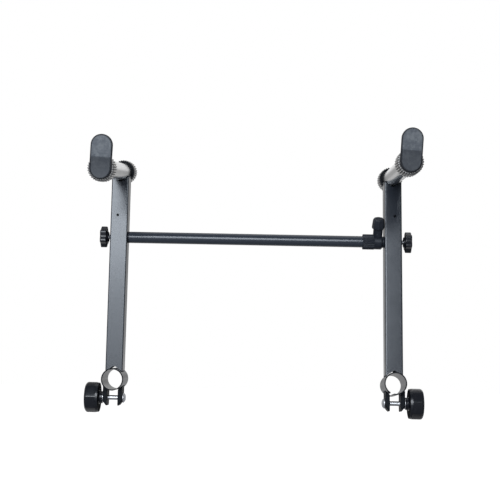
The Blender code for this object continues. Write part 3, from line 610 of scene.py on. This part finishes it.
def buildCap(side):
    # Back rim, side and rounded front rim of the plate, then its face in to the middle line
    front = -arm["front"] - fit - cap["thickness"]
    edge = filleted([(0.4 * mm, cap["thickness"], 0), (0, cap["thickness"] - 0.4 * mm, 0), (0, 0, cap["edge"]),
                     (cap["width"] / 4, 0, 0)], 7)[:-1]
    face = np.linspace(cap["edge"], cap["width"] / 2, 40)[1:]
    insets = np.concatenate([[cap["width"] / 2], edge[:, 0], face])
    depths = np.concatenate([[cap["thickness"]], edge[:, 1], np.zeros(len(face))])
    rings = stadiumRings(insets, depths)
    onFace = rings[..., 1] < 1e-9
    rings[..., 1] = rings[..., 1] + np.where(onFace, capRelief(rings[..., 0], rings[..., 2]), 0) + front
    turned = turnAboutY(rings, sides[side]["out"] * layout["capTurn"])
    mesh = meshOf(side + "StopCap", onArm(turned, side), tones=capPaintedShade(rings[..., 0], rings[..., 2]))
    addMesh(side + "StopCap", mesh, "cap", side + "_frame", [side + "_stop_cap"])
    outer = arm["diameter"] / 2 - arm["wall"] - fit
    inner = outer - cap["plugWall"]
    start = -arm["front"] - fit
    profile = filleted([(outer, start, 0), (outer, start + cap["plugLength"], 0.8 * mm),
                        (inner, start + cap["plugLength"], 0.4 * mm), (inner, start, 0)], 3, True)
    spigot = pointAlong(lathe(profile, 64), "y")
    addPiece(side + "StopCapSpigot", onArm(spigot, side), "cap", side + "_frame", [side + "_stop_cap"], closed=True)


def buildBackPlug(side):
    radius, start = arm["diameter"] / 2, arm["back"] + fit
    neck = radius - arm["wall"] - fit
    crown = plug["crown"]
    profile = filleted([(0, start + plug["flange"], 0), (radius - 2 * crown, start + plug["flange"] - crown / 3, 0),
                        (radius, start + plug["flange"] - crown / 2, 1.2 * mm), (radius, start, 0.2 * mm), (neck, start, 0),
                        (neck, start - plug["length"], 0.6 * mm), (neck - plug["wall"], start - plug["length"], 0),
                        (neck - plug["wall"], start, 0), (0, start, 0)], 5)
    rings = pointAlong(lathe(profile, 96), "y")
    addPiece(side + "BackPlug", onArm(rings, side), "cap", side + "_frame", [side + "_back_plug"])


# Clamps

lug = {"gap": 18.5 * mm, "offset": 1.5 * mm, "thickness": 7.3 * mm, "depth": 28 * mm, "top": 11.5 * mm,
       "drop": 45.3 * mm, "chamferWidth": 5.5 * mm, "chamferHeight": 7 * mm, "rounding": 4 * mm}
lugNear = {1: lug["gap"] / 2 + lug["offset"], -1: lug["gap"] / 2 - lug["offset"]}     # outer and inner lug
lugFar = {sign: near + lug["thickness"] for sign, near in lugNear.items()}
bolt = {"drop": 32 * mm, "diameter": 8 * mm, "length": 54 * mm, "head": 17.5 * mm, "headHeight": 5 * mm,
        "pitch": 1.25 * mm, "threadDepth": 0.55 * mm, "threadFrom": 34 * mm, "washer": 18 * mm,
        "washerThickness": 1.6 * mm}
handKnob = {"diameter": 52 * mm, "lobes": 8, "flute": 1.3 * mm, "sharpness": 0.9, "turn": math.radians(-4), "grip": 19.5 * mm, "flange": 4 * mm,
            "hub": 5.4 * mm, "hubDiameter": 21 * mm, "rounding": 4.5 * mm, "dish": 31 * mm, "dishDepth": 1.5 * mm,
            "nut": 13 * mm, "nutLength": 14 * mm}


def buildSleeve(side):
    # A C-shaped outline, its outer arc and its bore's arc back, carried along the sleeve's length. The slit
    # lies further in than the middle
    near, far = -sleeve["slitOffset"] + sleeve["slit"] / 2, -sleeve["slitOffset"] - sleeve["slit"] / 2
    arcs = []
    for radius in (saddle, sleeve["bore"] / 2):
        turn = spread((math.asin(near / radius) - math.pi / 2, math.asin(far / radius) + 1.5 * math.pi), 160)
        arcs.append(radius * np.stack([np.cos(turn), np.sin(turn)], -1))
    outline = np.concatenate([arcs[0], arcs[1][::-1]])
    along = spread((-sleeve["length"] / 2, sleeve["length"] / 2), 3)
    rings = np.stack([np.stack([outline[:, 0], np.full(len(outline), y), outline[:, 1]], -1) for y in along])
    piece = addPiece(side + "ClampSleeve", onClamp(rings, side), "sleeve", side + "_frame",
                     [side + "_clamp_sleeve"], bevel=0.3 * mm)
    # The sleeve's end faces take the darker, matt coat as painted shade
    recoat(piece, "cast", (0, -1, 0), (0, 1, 0))


def lugRings(sign):
    # Slices across the plate's thickness. Each slice is the side view with rounded lower corners, its
    # top on the sleeve or cut off level, and its bottom rising over the chamfer
    level = math.sqrt((saddle + fit) ** 2 - lug["top"] ** 2)
    x = np.append(np.linspace(lugNear[sign], lugFar[sign], 11), np.clip(level, lugNear[sign], lugFar[sign]))
    x = np.unique(x.round(7))
    high = np.minimum(-np.sqrt((saddle + fit) ** 2 - x ** 2), -lug["top"])
    rise = np.clip((x - (x[-1] - lug["chamferWidth"])) / lug["chamferWidth"], 0, 1)
    low = -lug["drop"] + lug["chamferHeight"] * rise
    half, r = lug["depth"] / 2, lug["rounding"]
    turn = np.linspace(0, math.pi / 2, 9)
    y = np.concatenate([[half, 0, -half], -half + r - r * np.cos(turn), half - r + r * np.sin(turn)])
    lift = np.concatenate([[0, 0, 0], r - r * np.sin(turn), r - r * np.cos(turn)])
    isTop = np.array([1, 1, 1] + [0] * (2 * len(turn)), float)
    z = high[:, None] * isTop + (low[:, None] + lift) * (1 - isTop)
    return np.stack([np.broadcast_to(sign * x[:, None], z.shape), np.broadcast_to(y, z.shape), z], -1)


def buildLugs(side):
    for name, node, sign in (("OuterLug", "_clamp_outer_lug", 1), ("InnerLug", "_clamp_inner_lug", -1)):
        addPiece(side + name, onClamp(lugRings(sign), side), "cast", side + "_frame", [side + node], bevel=0.4 * mm)


def threaded(diameter, start, end, pitch, depth, count=48, perTurn=12):
    # A shank whose radius waves along a helix: it depends on the height over the pitch less the angle's
    # share of a turn, and the wave fades out at both ends
    height = np.linspace(start, end, int(perTurn * abs(end - start) / pitch))[:, None]
    angles = np.linspace(0, 2 * math.pi, count, endpoint=False)[None, :]
    phase = height / pitch - angles / (2 * math.pi)
    saw = np.abs(2 * (phase - np.floor(phase)) - 1)
    fade = np.clip(np.minimum(abs(height - start), abs(height - end)) / pitch, 0, 1)
    radius = diameter / 2 - depth * saw * fade
    return np.stack([radius * np.cos(angles), radius * np.sin(angles),
                     np.broadcast_to(height, radius.shape)], -1)


def buildBolt(side):
    # Domed head, plain neck between the lugs, and a helical thread out to the tip. The axis is +X
    head = -lugFar[-1] - fit
    radius, shank = bolt["head"] / 2, bolt["diameter"] / 2
    tip = head + bolt["length"]
    dome = filleted([(0, head - bolt["headHeight"], 0), (radius * 0.62, head - bolt["headHeight"] * 0.86, 6 * mm),
                     (radius, head - bolt["headHeight"] * 0.25, 1.6 * mm), (radius, head, 0.3 * mm), (shank, head, 0.2 * mm),
                     (shank, head + bolt["threadFrom"], 0)], 8)
    thread = threaded(bolt["diameter"], head + bolt["threadFrom"] + 0.1 * mm, tip - 0.8 * mm, bolt["pitch"],
                      bolt["threadDepth"])
    end = lathe(np.array([(shank - 0.8 * mm, tip), (0, tip)]), 48)
    rings = pointAlong(np.concatenate([lathe(dome, 48), thread, end]), "x")
    rings = rings - np.array([0, 0, bolt["drop"]])
    addPiece(side + "ClampBolt", onClamp(rings, side), "zinc", side + "_frame", [side + "_clamp_bolt"])
    start = lugFar[1] + fit
    ease = 0.35 * mm
    hole, rim = bolt["diameter"] / 2 + fit, bolt["washer"] / 2
    ring = filleted([(rim, start + bolt["washerThickness"], ease), (rim, start, ease), (hole, start, 0.2 * mm),
                     (hole, start + bolt["washerThickness"], 0.2 * mm)], 3, True)
    washer = pointAlong(lathe(ring, 72), "x") - np.array([0, 0, bolt["drop"]])
    addPiece(side + "ClampWasher", onClamp(washer, side), "zinc", side + "_frame", [side + "_clamp_washer"],
             closed=True)


def buildHandKnob(side):
    # Turned profile from the dished face over the fluted grip and the flange to the hub
    start = lugFar[1] + bolt["washerThickness"] + 2 * fit
    radius, hub = handKnob["diameter"] / 2, handKnob["hubDiameter"] / 2
    flange = handKnob["hub"]
    gripStart = flange + handKnob["flange"]
    face = gripStart + handKnob["grip"]
    dish = handKnob["dish"] / 2
    pocket = handKnob["nut"] / 2 + fit
    corners = [(0, face - handKnob["dishDepth"], 0), (dish - 1.5 * mm, face - handKnob["dishDepth"], 1.2 * mm),
               (dish, face, 0.8 * mm), (radius, face, handKnob["rounding"]), (radius, gripStart + 0.8 * mm, 0.5 * mm),
               (radius - 0.3 * mm, gripStart, 0.3 * mm), (radius - 1 * mm, flange, 0.6 * mm),
               (hub + 1.5 * mm, flange, 0.8 * mm), (hub, flange - 1.2 * mm, 0.4 * mm), (hub, 0, 0.4 * mm), (pocket, 0, 0),
               (pocket, handKnob["nutLength"] + fit, 0), (0, handKnob["nutLength"] + fit, 0)]
    profile = filleted(corners, 7)
    radial = np.clip((profile[:, 0] - (radius - handKnob["rounding"])) / handKnob["rounding"], 0, 1)
    onGrip = (profile[:, 1] > gripStart + 0.2 * mm).astype(float)
    depth = handKnob["flute"] * radial * onGrip
    rings = pointAlong(lathe(profile, 192, handKnob["lobes"], depth, handKnob["sharpness"], handKnob["turn"]), "x")
    place = np.array([start, 0, -bolt["drop"]])
    piece = addPiece(side + "ClampKnob", onClamp(rings + place, side), "knob", side + "_clamp_handle",
                     [side + "_clamp_knob"])
    # The knob's side towards the lugs takes the darker, matt plastic as painted shade
    recoat(piece, "dull", (-sides[side]["out"], 0, 0))


# Star knobs

star = {"reach": 18 * mm, "inKnob": 9 * mm, "toUpright": 4 * mm, "diameter": 37 * mm, "lobes": 6,
        "flute": 3.6 * mm, "sharpness": 1.6, "grip": 10.8 * mm, "crown": 1.2 * mm, "cone": 2.7 * mm, "hub": 19 * mm,
        "rounding": 1.6 * mm}


def buildStarKnob(side):
    start = upright["width"] / 2 + star["toUpright"]
    gripStart = start + star["cone"]
    face = gripStart + star["grip"]
    radius, hub, hole = star["diameter"] / 2, star["hub"] / 2, stud / 2 + fit
    back = start + star["inKnob"]
    corners = [(0, face + star["crown"], 0), (radius * 0.42, face + star["crown"] * 0.8, 8 * mm),
               (radius, face, star["rounding"]), (radius, gripStart, star["rounding"]), (hub + 1 * mm, gripStart, 0.8 * mm),
               (hub, start + 1 * mm, 0.4 * mm), (hub - 1 * mm, start, 0.4 * mm), (hole, start, 0), (hole, back + fit, 0),
               (0, back + fit, 0)]
    profile = filleted(corners, 7)
    depth = star["flute"] * np.clip((profile[:, 0] - hub) / (radius - hub), 0, 1)
    rings = pointAlong(lathe(profile, 180, star["lobes"], depth, star["sharpness"]), "x")
    piece = addPiece(side + "StarKnob", onSide(rings, side), "knob", side + "_star_handle", [side + "_star_knob"])
    # The knob's side towards the upright takes the darker, matt plastic as painted shade
    recoat(piece, "dull", (-sides[side]["out"], 0, 0))
    tip = -upright["width"] / 2 - star["reach"]
    r = stud / 2
    thread = threaded(stud, tip + 1 * mm, back - fit, 1.25 * mm, 0.55 * mm)
    ends = [lathe(np.array([(0, tip), (r - 1 * mm, tip)]), 48), thread, lathe(np.array([(r, back), (0, back)]), 48)]
    rings = pointAlong(np.concatenate(ends), "x")
    addPiece(side + "StarStud", onSide(rings, side), "zinc", side + "_star_handle", [side + "_star_stud"])


# Welds

weld = {"radius": 1.5 * mm, "ripple": 1.1 * mm, "rippleHeight": 0.35 * mm}


def beadRings(start, end, radius):
    # A round bead along a straight line: its radius swells once for each ripple and closes at both ends
    start, end = np.array(start, float), np.array(end, float)
    length = np.linalg.norm(end - start)
    share = np.linspace(0, 1, max(int(length / weld["ripple"] * 6), 8))[:, None]
    angles = np.linspace(0, 2 * math.pi, 12, endpoint=False)[None, :]
    swell = 1 + weld["rippleHeight"] / radius * (np.abs(np.sin(math.pi * share * length / weld["ripple"])) - 0.5)
    taper = np.sqrt(np.clip(1 - (2 * share - 1) ** 8, 0, 1))
    r = radius * swell * taper
    forward = (end - start) / length
    side = np.cross(forward, [0, 0, 1.0])
    side /= np.linalg.norm(side)
    up = np.cross(side, forward)
    middle = start + (end - start) * share
    return middle[:, None, :] + r[..., None] * (np.cos(angles)[..., None] * side + np.sin(angles)[..., None] * up)


def buildWelds(side):
    # Beads where the upright's side walls meet the sleeve and the arm, and where the lugs meet the sleeve
    half = upright["width"] / 2
    foot = notchDepth(np.array([half]), saddle)[0]
    seat = notchDepth(np.array([half]), arm["diameter"] / 2)[0]
    reach = half - 2 * mm
    for number, sign in enumerate((-1, 1)):
        x = sign * (half - 1.2 * mm)
        foots = beadRings((x, -reach, foot - 0.2 * mm), (x, reach, foot - 0.2 * mm), weld["radius"])
        addPiece(side + "FootWeld" + str(number), onClamp(foots, side), "coat", side + "_frame", [])
        heads = beadRings((x, -reach, -seat + 0.3 * mm), (x, reach, -seat + 0.3 * mm), weld["radius"])
        addPiece(side + "HeadWeld" + str(number), onArm(heads, side), "coat", side + "_frame", [])
        edge = min(lugFar[sign], math.sqrt((saddle + fit) ** 2 - lug["top"] ** 2))
        high = -math.sqrt(saddle ** 2 - edge ** 2)
        lugs = beadRings((sign * edge, -lug["depth"] / 2, high), (sign * edge, lug["depth"] / 2, high), 1.1 * mm)
        addPiece(side + "LugWeld" + str(number), onClamp(lugs, side), "coat", side + "_frame", [])


# Cross bar

bar = {"diameter": 20 * mm, "wall": 1.5 * mm, "inner": 16 * mm, "innerWall": 1.2 * mm, "tailRoom": 39 * mm,
       "flange": 2 * mm, "plugLength": 24 * mm, "tailLength": 12 * mm}
collar = {"diameter": 27 * mm, "length": 34 * mm, "ribbed": 20 * mm, "ribs": 24, "ribHeight": 0.5 * mm,
          "toUpright": 3.5 * mm, "socket": 15 * mm, "chamfer": 2 * mm, "boss": 16.5 * mm, "bossRise": 5.2 * mm,
          "lean": math.radians(30)}
grubKnob = {"toEnd": 8.2 * mm, "diameter": 22.4 * mm, "topDiameter": 19.4 * mm, "height": 19 * mm, "dish": 9 * mm,
            "dishDepth": 0.8 * mm, "hub": 6.4 * mm, "lobes": 8, "flute": 0.8 * mm, "rounding": 5 * mm,
            "screw": 6 * mm, "screwLength": 26 * mm, "pad": 1.5 * mm}
barRise = sides["left"]["hub"][2]
face = sides["right"]["hub"][0] - upright["width"] / 2
collarRight = face - collar["toUpright"]
barEnds = (-face + bar["flange"] + 2 * fit, collarRight - collar["length"] + collar["socket"])
innerEnds = (barEnds[0] + bar["plugLength"] + bar["tailRoom"] + bar["flange"], face - bar["flange"] - 2 * fit)


def onBar(points):
    return points + np.array([0, 0, barRise])


def tubeRings(radius, wall, ends):
    ease = 0.3 * mm
    profile = filleted([(radius, ends[1], ease), (radius, ends[0], ease), (radius - wall, ends[0], ease),
                        (radius - wall, ends[1], ease)], 3, True)
    return pointAlong(lathe(profile, 96), "x")


def plugRings(bore, outer, length, position, axis):
    # Plug with a flange and a threaded hole through it
    hole, body = stud / 2 + fit, bore / 2 - fit
    profile = filleted([(body, length, 0.5 * mm), (body, 0, 0), (outer / 2, 0, 0.2 * mm), (outer / 2, -bar["flange"], 0.4 * mm),
                        (hole, -bar["flange"], 0.2 * mm), (hole, length, 0.2 * mm)], 3, True)
    return pointAlong(lathe(profile, 72), axis) + np.array([position, 0, 0])


def buildBar():
    addPiece("barOuterTube", onBar(tubeRings(bar["diameter"] / 2, bar["wall"], barEnds)), "bar", "bar",
             ["bar_outer_tube"], closed=True)
    addPiece("barInnerTube", onBar(tubeRings(bar["inner"] / 2, bar["innerWall"], innerEnds)), "bar", "slider",
             ["bar_inner_tube"], closed=True)
    outerBore, innerBore = bar["diameter"] - 2 * bar["wall"], bar["inner"] - 2 * bar["innerWall"]
    addPiece("barLeftPlug", onBar(plugRings(outerBore, bar["diameter"], bar["plugLength"], barEnds[0] - fit, "x")),
             "mould", "bar", ["bar_left_plug"], closed=True)
    addPiece("barRightPlug", onBar(plugRings(innerBore, bar["diameter"], bar["plugLength"], innerEnds[1] + fit, "-x")),
             "mould", "slider", ["bar_right_plug"], closed=True)
    addPiece("barTailBush", onBar(plugRings(innerBore, bar["inner"], bar["tailLength"], innerEnds[0] - fit, "x")),
             "nylon", "slider", ["bar_tail_bush"], closed=True)


def onCollar(points):
    # Beside the collar's knob on the bar's axis, leaning to the front with the whole collar
    return onBar(turnAboutX(points, collar["lean"]) + np.array([collarRight - grubKnob["toEnd"], 0, 0]))


def buildCollar():
    # Ribbed over the part that grips the outer tube, plain over the rest, with a chamfered mouth
    radius = collar["diameter"] / 2
    plain = radius - collar["ribHeight"]
    socket, bore = bar["diameter"] / 2 + fit, bar["inner"] / 2 + fit
    ribs = collar["length"] - collar["ribbed"]
    depth = collar["length"] - collar["socket"] - fit
    corners = [(bore, 0, 0.3 * mm), (bore, depth, 0), (socket, depth, 0), (socket, collar["length"], 0.3 * mm),
               (radius, collar["length"], 0.9 * mm), (radius, ribs, 0.3 * mm), (plain - 0.3 * mm, ribs, 0.2 * mm),
               (plain - 0.3 * mm, ribs - 0.8 * mm, 0.2 * mm), (plain, ribs - 0.8 * mm, 0.3 * mm),
               (plain, collar["chamfer"], 0.5 * mm), (plain - collar["chamfer"], 0, 0.5 * mm)]
    profile = filleted(corners, 4, True)
    onRibs = (profile[:, 1] > ribs + 0.1 * mm) & (profile[:, 0] > plain)
    depths = 2 * collar["ribHeight"] * onRibs
    rings = pointAlong(lathe(profile, collar["ribs"] * 10, collar["ribs"], depths, 3.0), "-x")
    addPiece("collarBody", onCollar(rings + np.array([grubKnob["toEnd"], 0, 0])), "mould", "bar", ["collar"],
             closed=True)
    bossTop = radius + collar["bossRise"]
    root = plain - 2.5 * mm
    hole, rim = grubKnob["screw"] / 2 + fit, collar["boss"] / 2
    boss = lathe(filleted([(rim, bossTop, 0.6 * mm), (rim, root, 0), (hole, root, 0), (hole, bossTop, 0.3 * mm)], 4, True), 96)
    addPiece("collarBoss", onCollar(boss), "mould", "bar", ["collar"], closed=True)


def buildGrubKnob():
    # Domed knob, broader towards its foot, with a shallow dish in its top, and its screw
    radius, hub = grubKnob["diameter"] / 2, collar["boss"] / 2
    topRadius, dish = grubKnob["topDiameter"] / 2, grubKnob["dish"] / 2
    base, top = grubKnob["hub"], grubKnob["hub"] + grubKnob["height"]
    start = collar["diameter"] / 2 + collar["bossRise"] + fit
    padLow = bar["inner"] / 2 + fit
    tip = padLow + grubKnob["pad"] + fit - start
    screwHead = tip + grubKnob["screwLength"]
    hole = grubKnob["screw"] / 2 + fit
    corners = [(0, top - grubKnob["dishDepth"], 0), (dish - grubKnob["dishDepth"], top - grubKnob["dishDepth"], 0.5 * mm),
               (dish + 0.3 * mm, top, 0.4 * mm), (topRadius, top, grubKnob["rounding"]),
               (radius, base + 3 * mm, 3 * mm), (radius - 0.7 * mm, base + 1 * mm, 0.8 * mm),
               (radius - 2 * mm, base, 0.6 * mm), (hub, base, 0.6 * mm), (hub, 0, 0.4 * mm), (hole, 0, 0),
               (hole, screwHead + fit, 0), (0, screwHead + fit, 0)]
    profile = filleted(corners, 8)
    depth = grubKnob["flute"] * np.clip((profile[:, 0] - hub) / (topRadius - hub), 0, 1) ** 0.5
    place = np.array([0, 0, start])
    knob = lathe(profile, 160, grubKnob["lobes"], depth, 2.0)
    addPiece("collarKnob", onCollar(knob + place), "mould", "collar_handle", ["collar_knob"])
    r = grubKnob["screw"] / 2
    stack = [lathe(np.array([(0, tip), (r - 0.6 * mm, tip)]), 48),
             threaded(grubKnob["screw"], tip + 0.6 * mm, screwHead - fit, 1 * mm, 0.45 * mm),
             lathe(np.array([(r, screwHead), (0, screwHead)]), 48)]
    addPiece("collarScrew", onCollar(np.concatenate(stack) + place), "zinc", "collar_handle", ["collar_screw"])


for side in sides:
    buildUpright(side)
    buildArmTube(side)
    buildCap(side)
    buildGrips(side)
    buildBackPlug(side)
    buildSleeve(side)
    buildLugs(side)
    buildWelds(side)
    buildBolt(side)
    buildHandKnob(side)
    buildStarKnob(side)
    print(side, "frame made")
buildBar()
buildCollar()
buildGrubKnob()
print("cross bar made")


# Floor, light and camera

studio = {"floorDrop": 0.30, "floorSize": 14.0, "floorColour": (0.25, 0.25, 0.26),
          "floorLift": 0.95, "floorGlow": 0.45, "glowFrom": (0.0, 0.3), "fill": 0.36, "room": 0.14, "sweep": 0.5}
lamps = {"keyLight": {"place": (-0.35, -2.0, 0.80), "aim": (-0.35, 0.0, 0.80), "size": (1.5, 0.93), "power": 51,
                      "colour": (0.93, 0.96, 1.0)},
         "lowKey": {"place": (-0.35, -2.0, 0.115), "aim": (-0.35, 0.0, 0.115), "size": (1.5, 0.41), "power": 9,
                    "colour": (0.93, 0.96, 1.0)},
         "topLight": {"place": (0.3, 0.4, 1.9), "aim": (0.0, 0.0, 0.2), "size": (1.6, 1.6), "power": 9,
                      "colour": (1.0, 1.0, 1.0)}}


def addFloor():
    # A wide pale sheet that glows for the camera, which sees it as plain white. Reflections see it glow
    # behind the object too, and fade to its own grey in front
    half = studio["floorSize"] / 2
    corners = np.array([(-half, -half), (half, -half), (half, half), (-half, half)])
    mesh = bpy.data.meshes.new("studioFloor")
    mesh.from_pydata([(x, y, -studio["floorDrop"]) for x, y in corners.tolist()], [], [(0, 1, 2, 3)])
    floor = bpy.data.objects.new("studioFloor", mesh)
    bpy.context.scene.collection.objects.link(floor)
    paper = Finish("paleFloor", Roughness=0.9)
    paper.shader.inputs["Base Color"].default_value = (*studio["floorColour"], 1)
    paper.shader.inputs["Emission Strength"].default_value = 1
    rays = paper.tree.nodes.new("ShaderNodeLightPath")
    place = addNode(paper.tree, "ShaderNodeTexCoord", {}, {}, "Object")
    behind = addNode(paper.tree, "ShaderNodeSeparateXYZ", {}, [place], "Y").between(*studio["glowFrom"])
    mirrored = Wire(paper.tree, rays.outputs["Is Glossy Ray"]) * behind * studio["floorGlow"]
    paper.drive("Emission Color", Wire(paper.tree, rays.outputs["Is Camera Ray"]) * studio["floorLift"] + mirrored)
    mesh.materials.append(paper.material)


def addLamp(name, look):
    data = bpy.data.lights.new(name, "AREA")
    data.shape = "RECTANGLE"
    data.size, data.size_y = look["size"]
    data.energy = look["power"]
    data.color = look["colour"]
    lamp = bpy.data.objects.new(name, data)
    bpy.context.scene.collection.objects.link(lamp)
    lamp.location = look["place"]
    aim = np.array(look["aim"]) - np.array(look["place"])
    flat = math.hypot(aim[0], aim[1])
    lamp.rotation_euler = (math.atan2(flat, -aim[2]), 0, math.atan2(aim[1], aim[0]) - math.pi / 2)


def addWorld():
    # The camera sees white all round. Reflections see the white sweep behind and beside the object, which
    # fades to a dim room in front of it and overhead, and everything else gets a soft fill
    world = bpy.data.worlds.new("studio")
    bpy.context.scene.world = world
    world.use_nodes = True
    tree = world.node_tree
    background = tree.nodes["Background"]
    background.inputs["Color"].default_value = (1, 1, 1, 1)
    direction = addNode(tree, "ShaderNodeTexCoord", {}, {}, "Generated")
    back = addNode(tree, "ShaderNodeSeparateXYZ", {}, [direction], "Y").between(-0.7, -0.1)
    height = addNode(tree, "ShaderNodeSeparateXYZ", {}, [direction], "Z")
    bright = studio["sweep"] + (height - 0.08).math("ABSOLUTE").between(0.05, 0.17) * (1 - studio["sweep"])
    backdrop = back * (1 - height.between(0.35, 0.6)) * (bright - studio["room"]) + studio["room"]
    rays = tree.nodes.new("ShaderNodeLightPath")
    camera, glossy, through = [Wire(tree, rays.outputs["Is " + kind + " Ray"])
                               for kind in ("Camera", "Glossy", "Transmission")]
    mirrored = glossy.math("MAXIMUM", through)
    other = mirrored * backdrop + (1 - mirrored) * studio["fill"]
    strength = camera + (1 - camera) * other
    tree.links.new(strength.socket, background.inputs["Strength"])


view = {"place": (0.01687, -1.7071, 0.0558), "yaw": 0.0156, "pitch": 0.1015, "roll": -0.021,
        "focalPixels": 975.93, "framePixels": 500, "sensor": 36.0}


def addCamera():
    # The camera looks along +Y, turned by yaw about Z, then pitch about X and roll about its own view
    def turn(angle, axis):
        c, s = math.cos(angle), math.sin(angle)
        i, j = [(1, 2), (2, 0), (0, 1)][axis]
        matrix = np.eye(3)
        matrix[i, i], matrix[j, j], matrix[i, j], matrix[j, i] = c, c, -s, s
        return matrix

    aim = turn(view["yaw"], 2) @ turn(view["pitch"], 0) @ turn(view["roll"], 1)
    data = bpy.data.cameras.new("camera")
    data.sensor_width = view["sensor"]
    data.sensor_fit = "HORIZONTAL"
    data.lens = view["sensor"] * view["focalPixels"] / view["framePixels"]
    camera = bpy.data.objects.new("camera", data)
    bpy.context.scene.collection.objects.link(camera)
    right, forward, up = aim[:, 0], aim[:, 1], aim[:, 2]
    matrix = np.eye(4)
    matrix[:3, 0], matrix[:3, 1], matrix[:3, 2], matrix[:3, 3] = right, up, -forward, view["place"]
    camera.matrix_world = Matrix(matrix.tolist())
    bpy.context.scene.camera = camera


addFloor()
for name, look in lamps.items():
    addLamp(name, look)
addWorld()
addCamera()
bpy.context.scene.view_settings.view_transform = "Standard"
print("studio made")


def plain(box):
    return [[float(value) for value in corner] for corner in box]
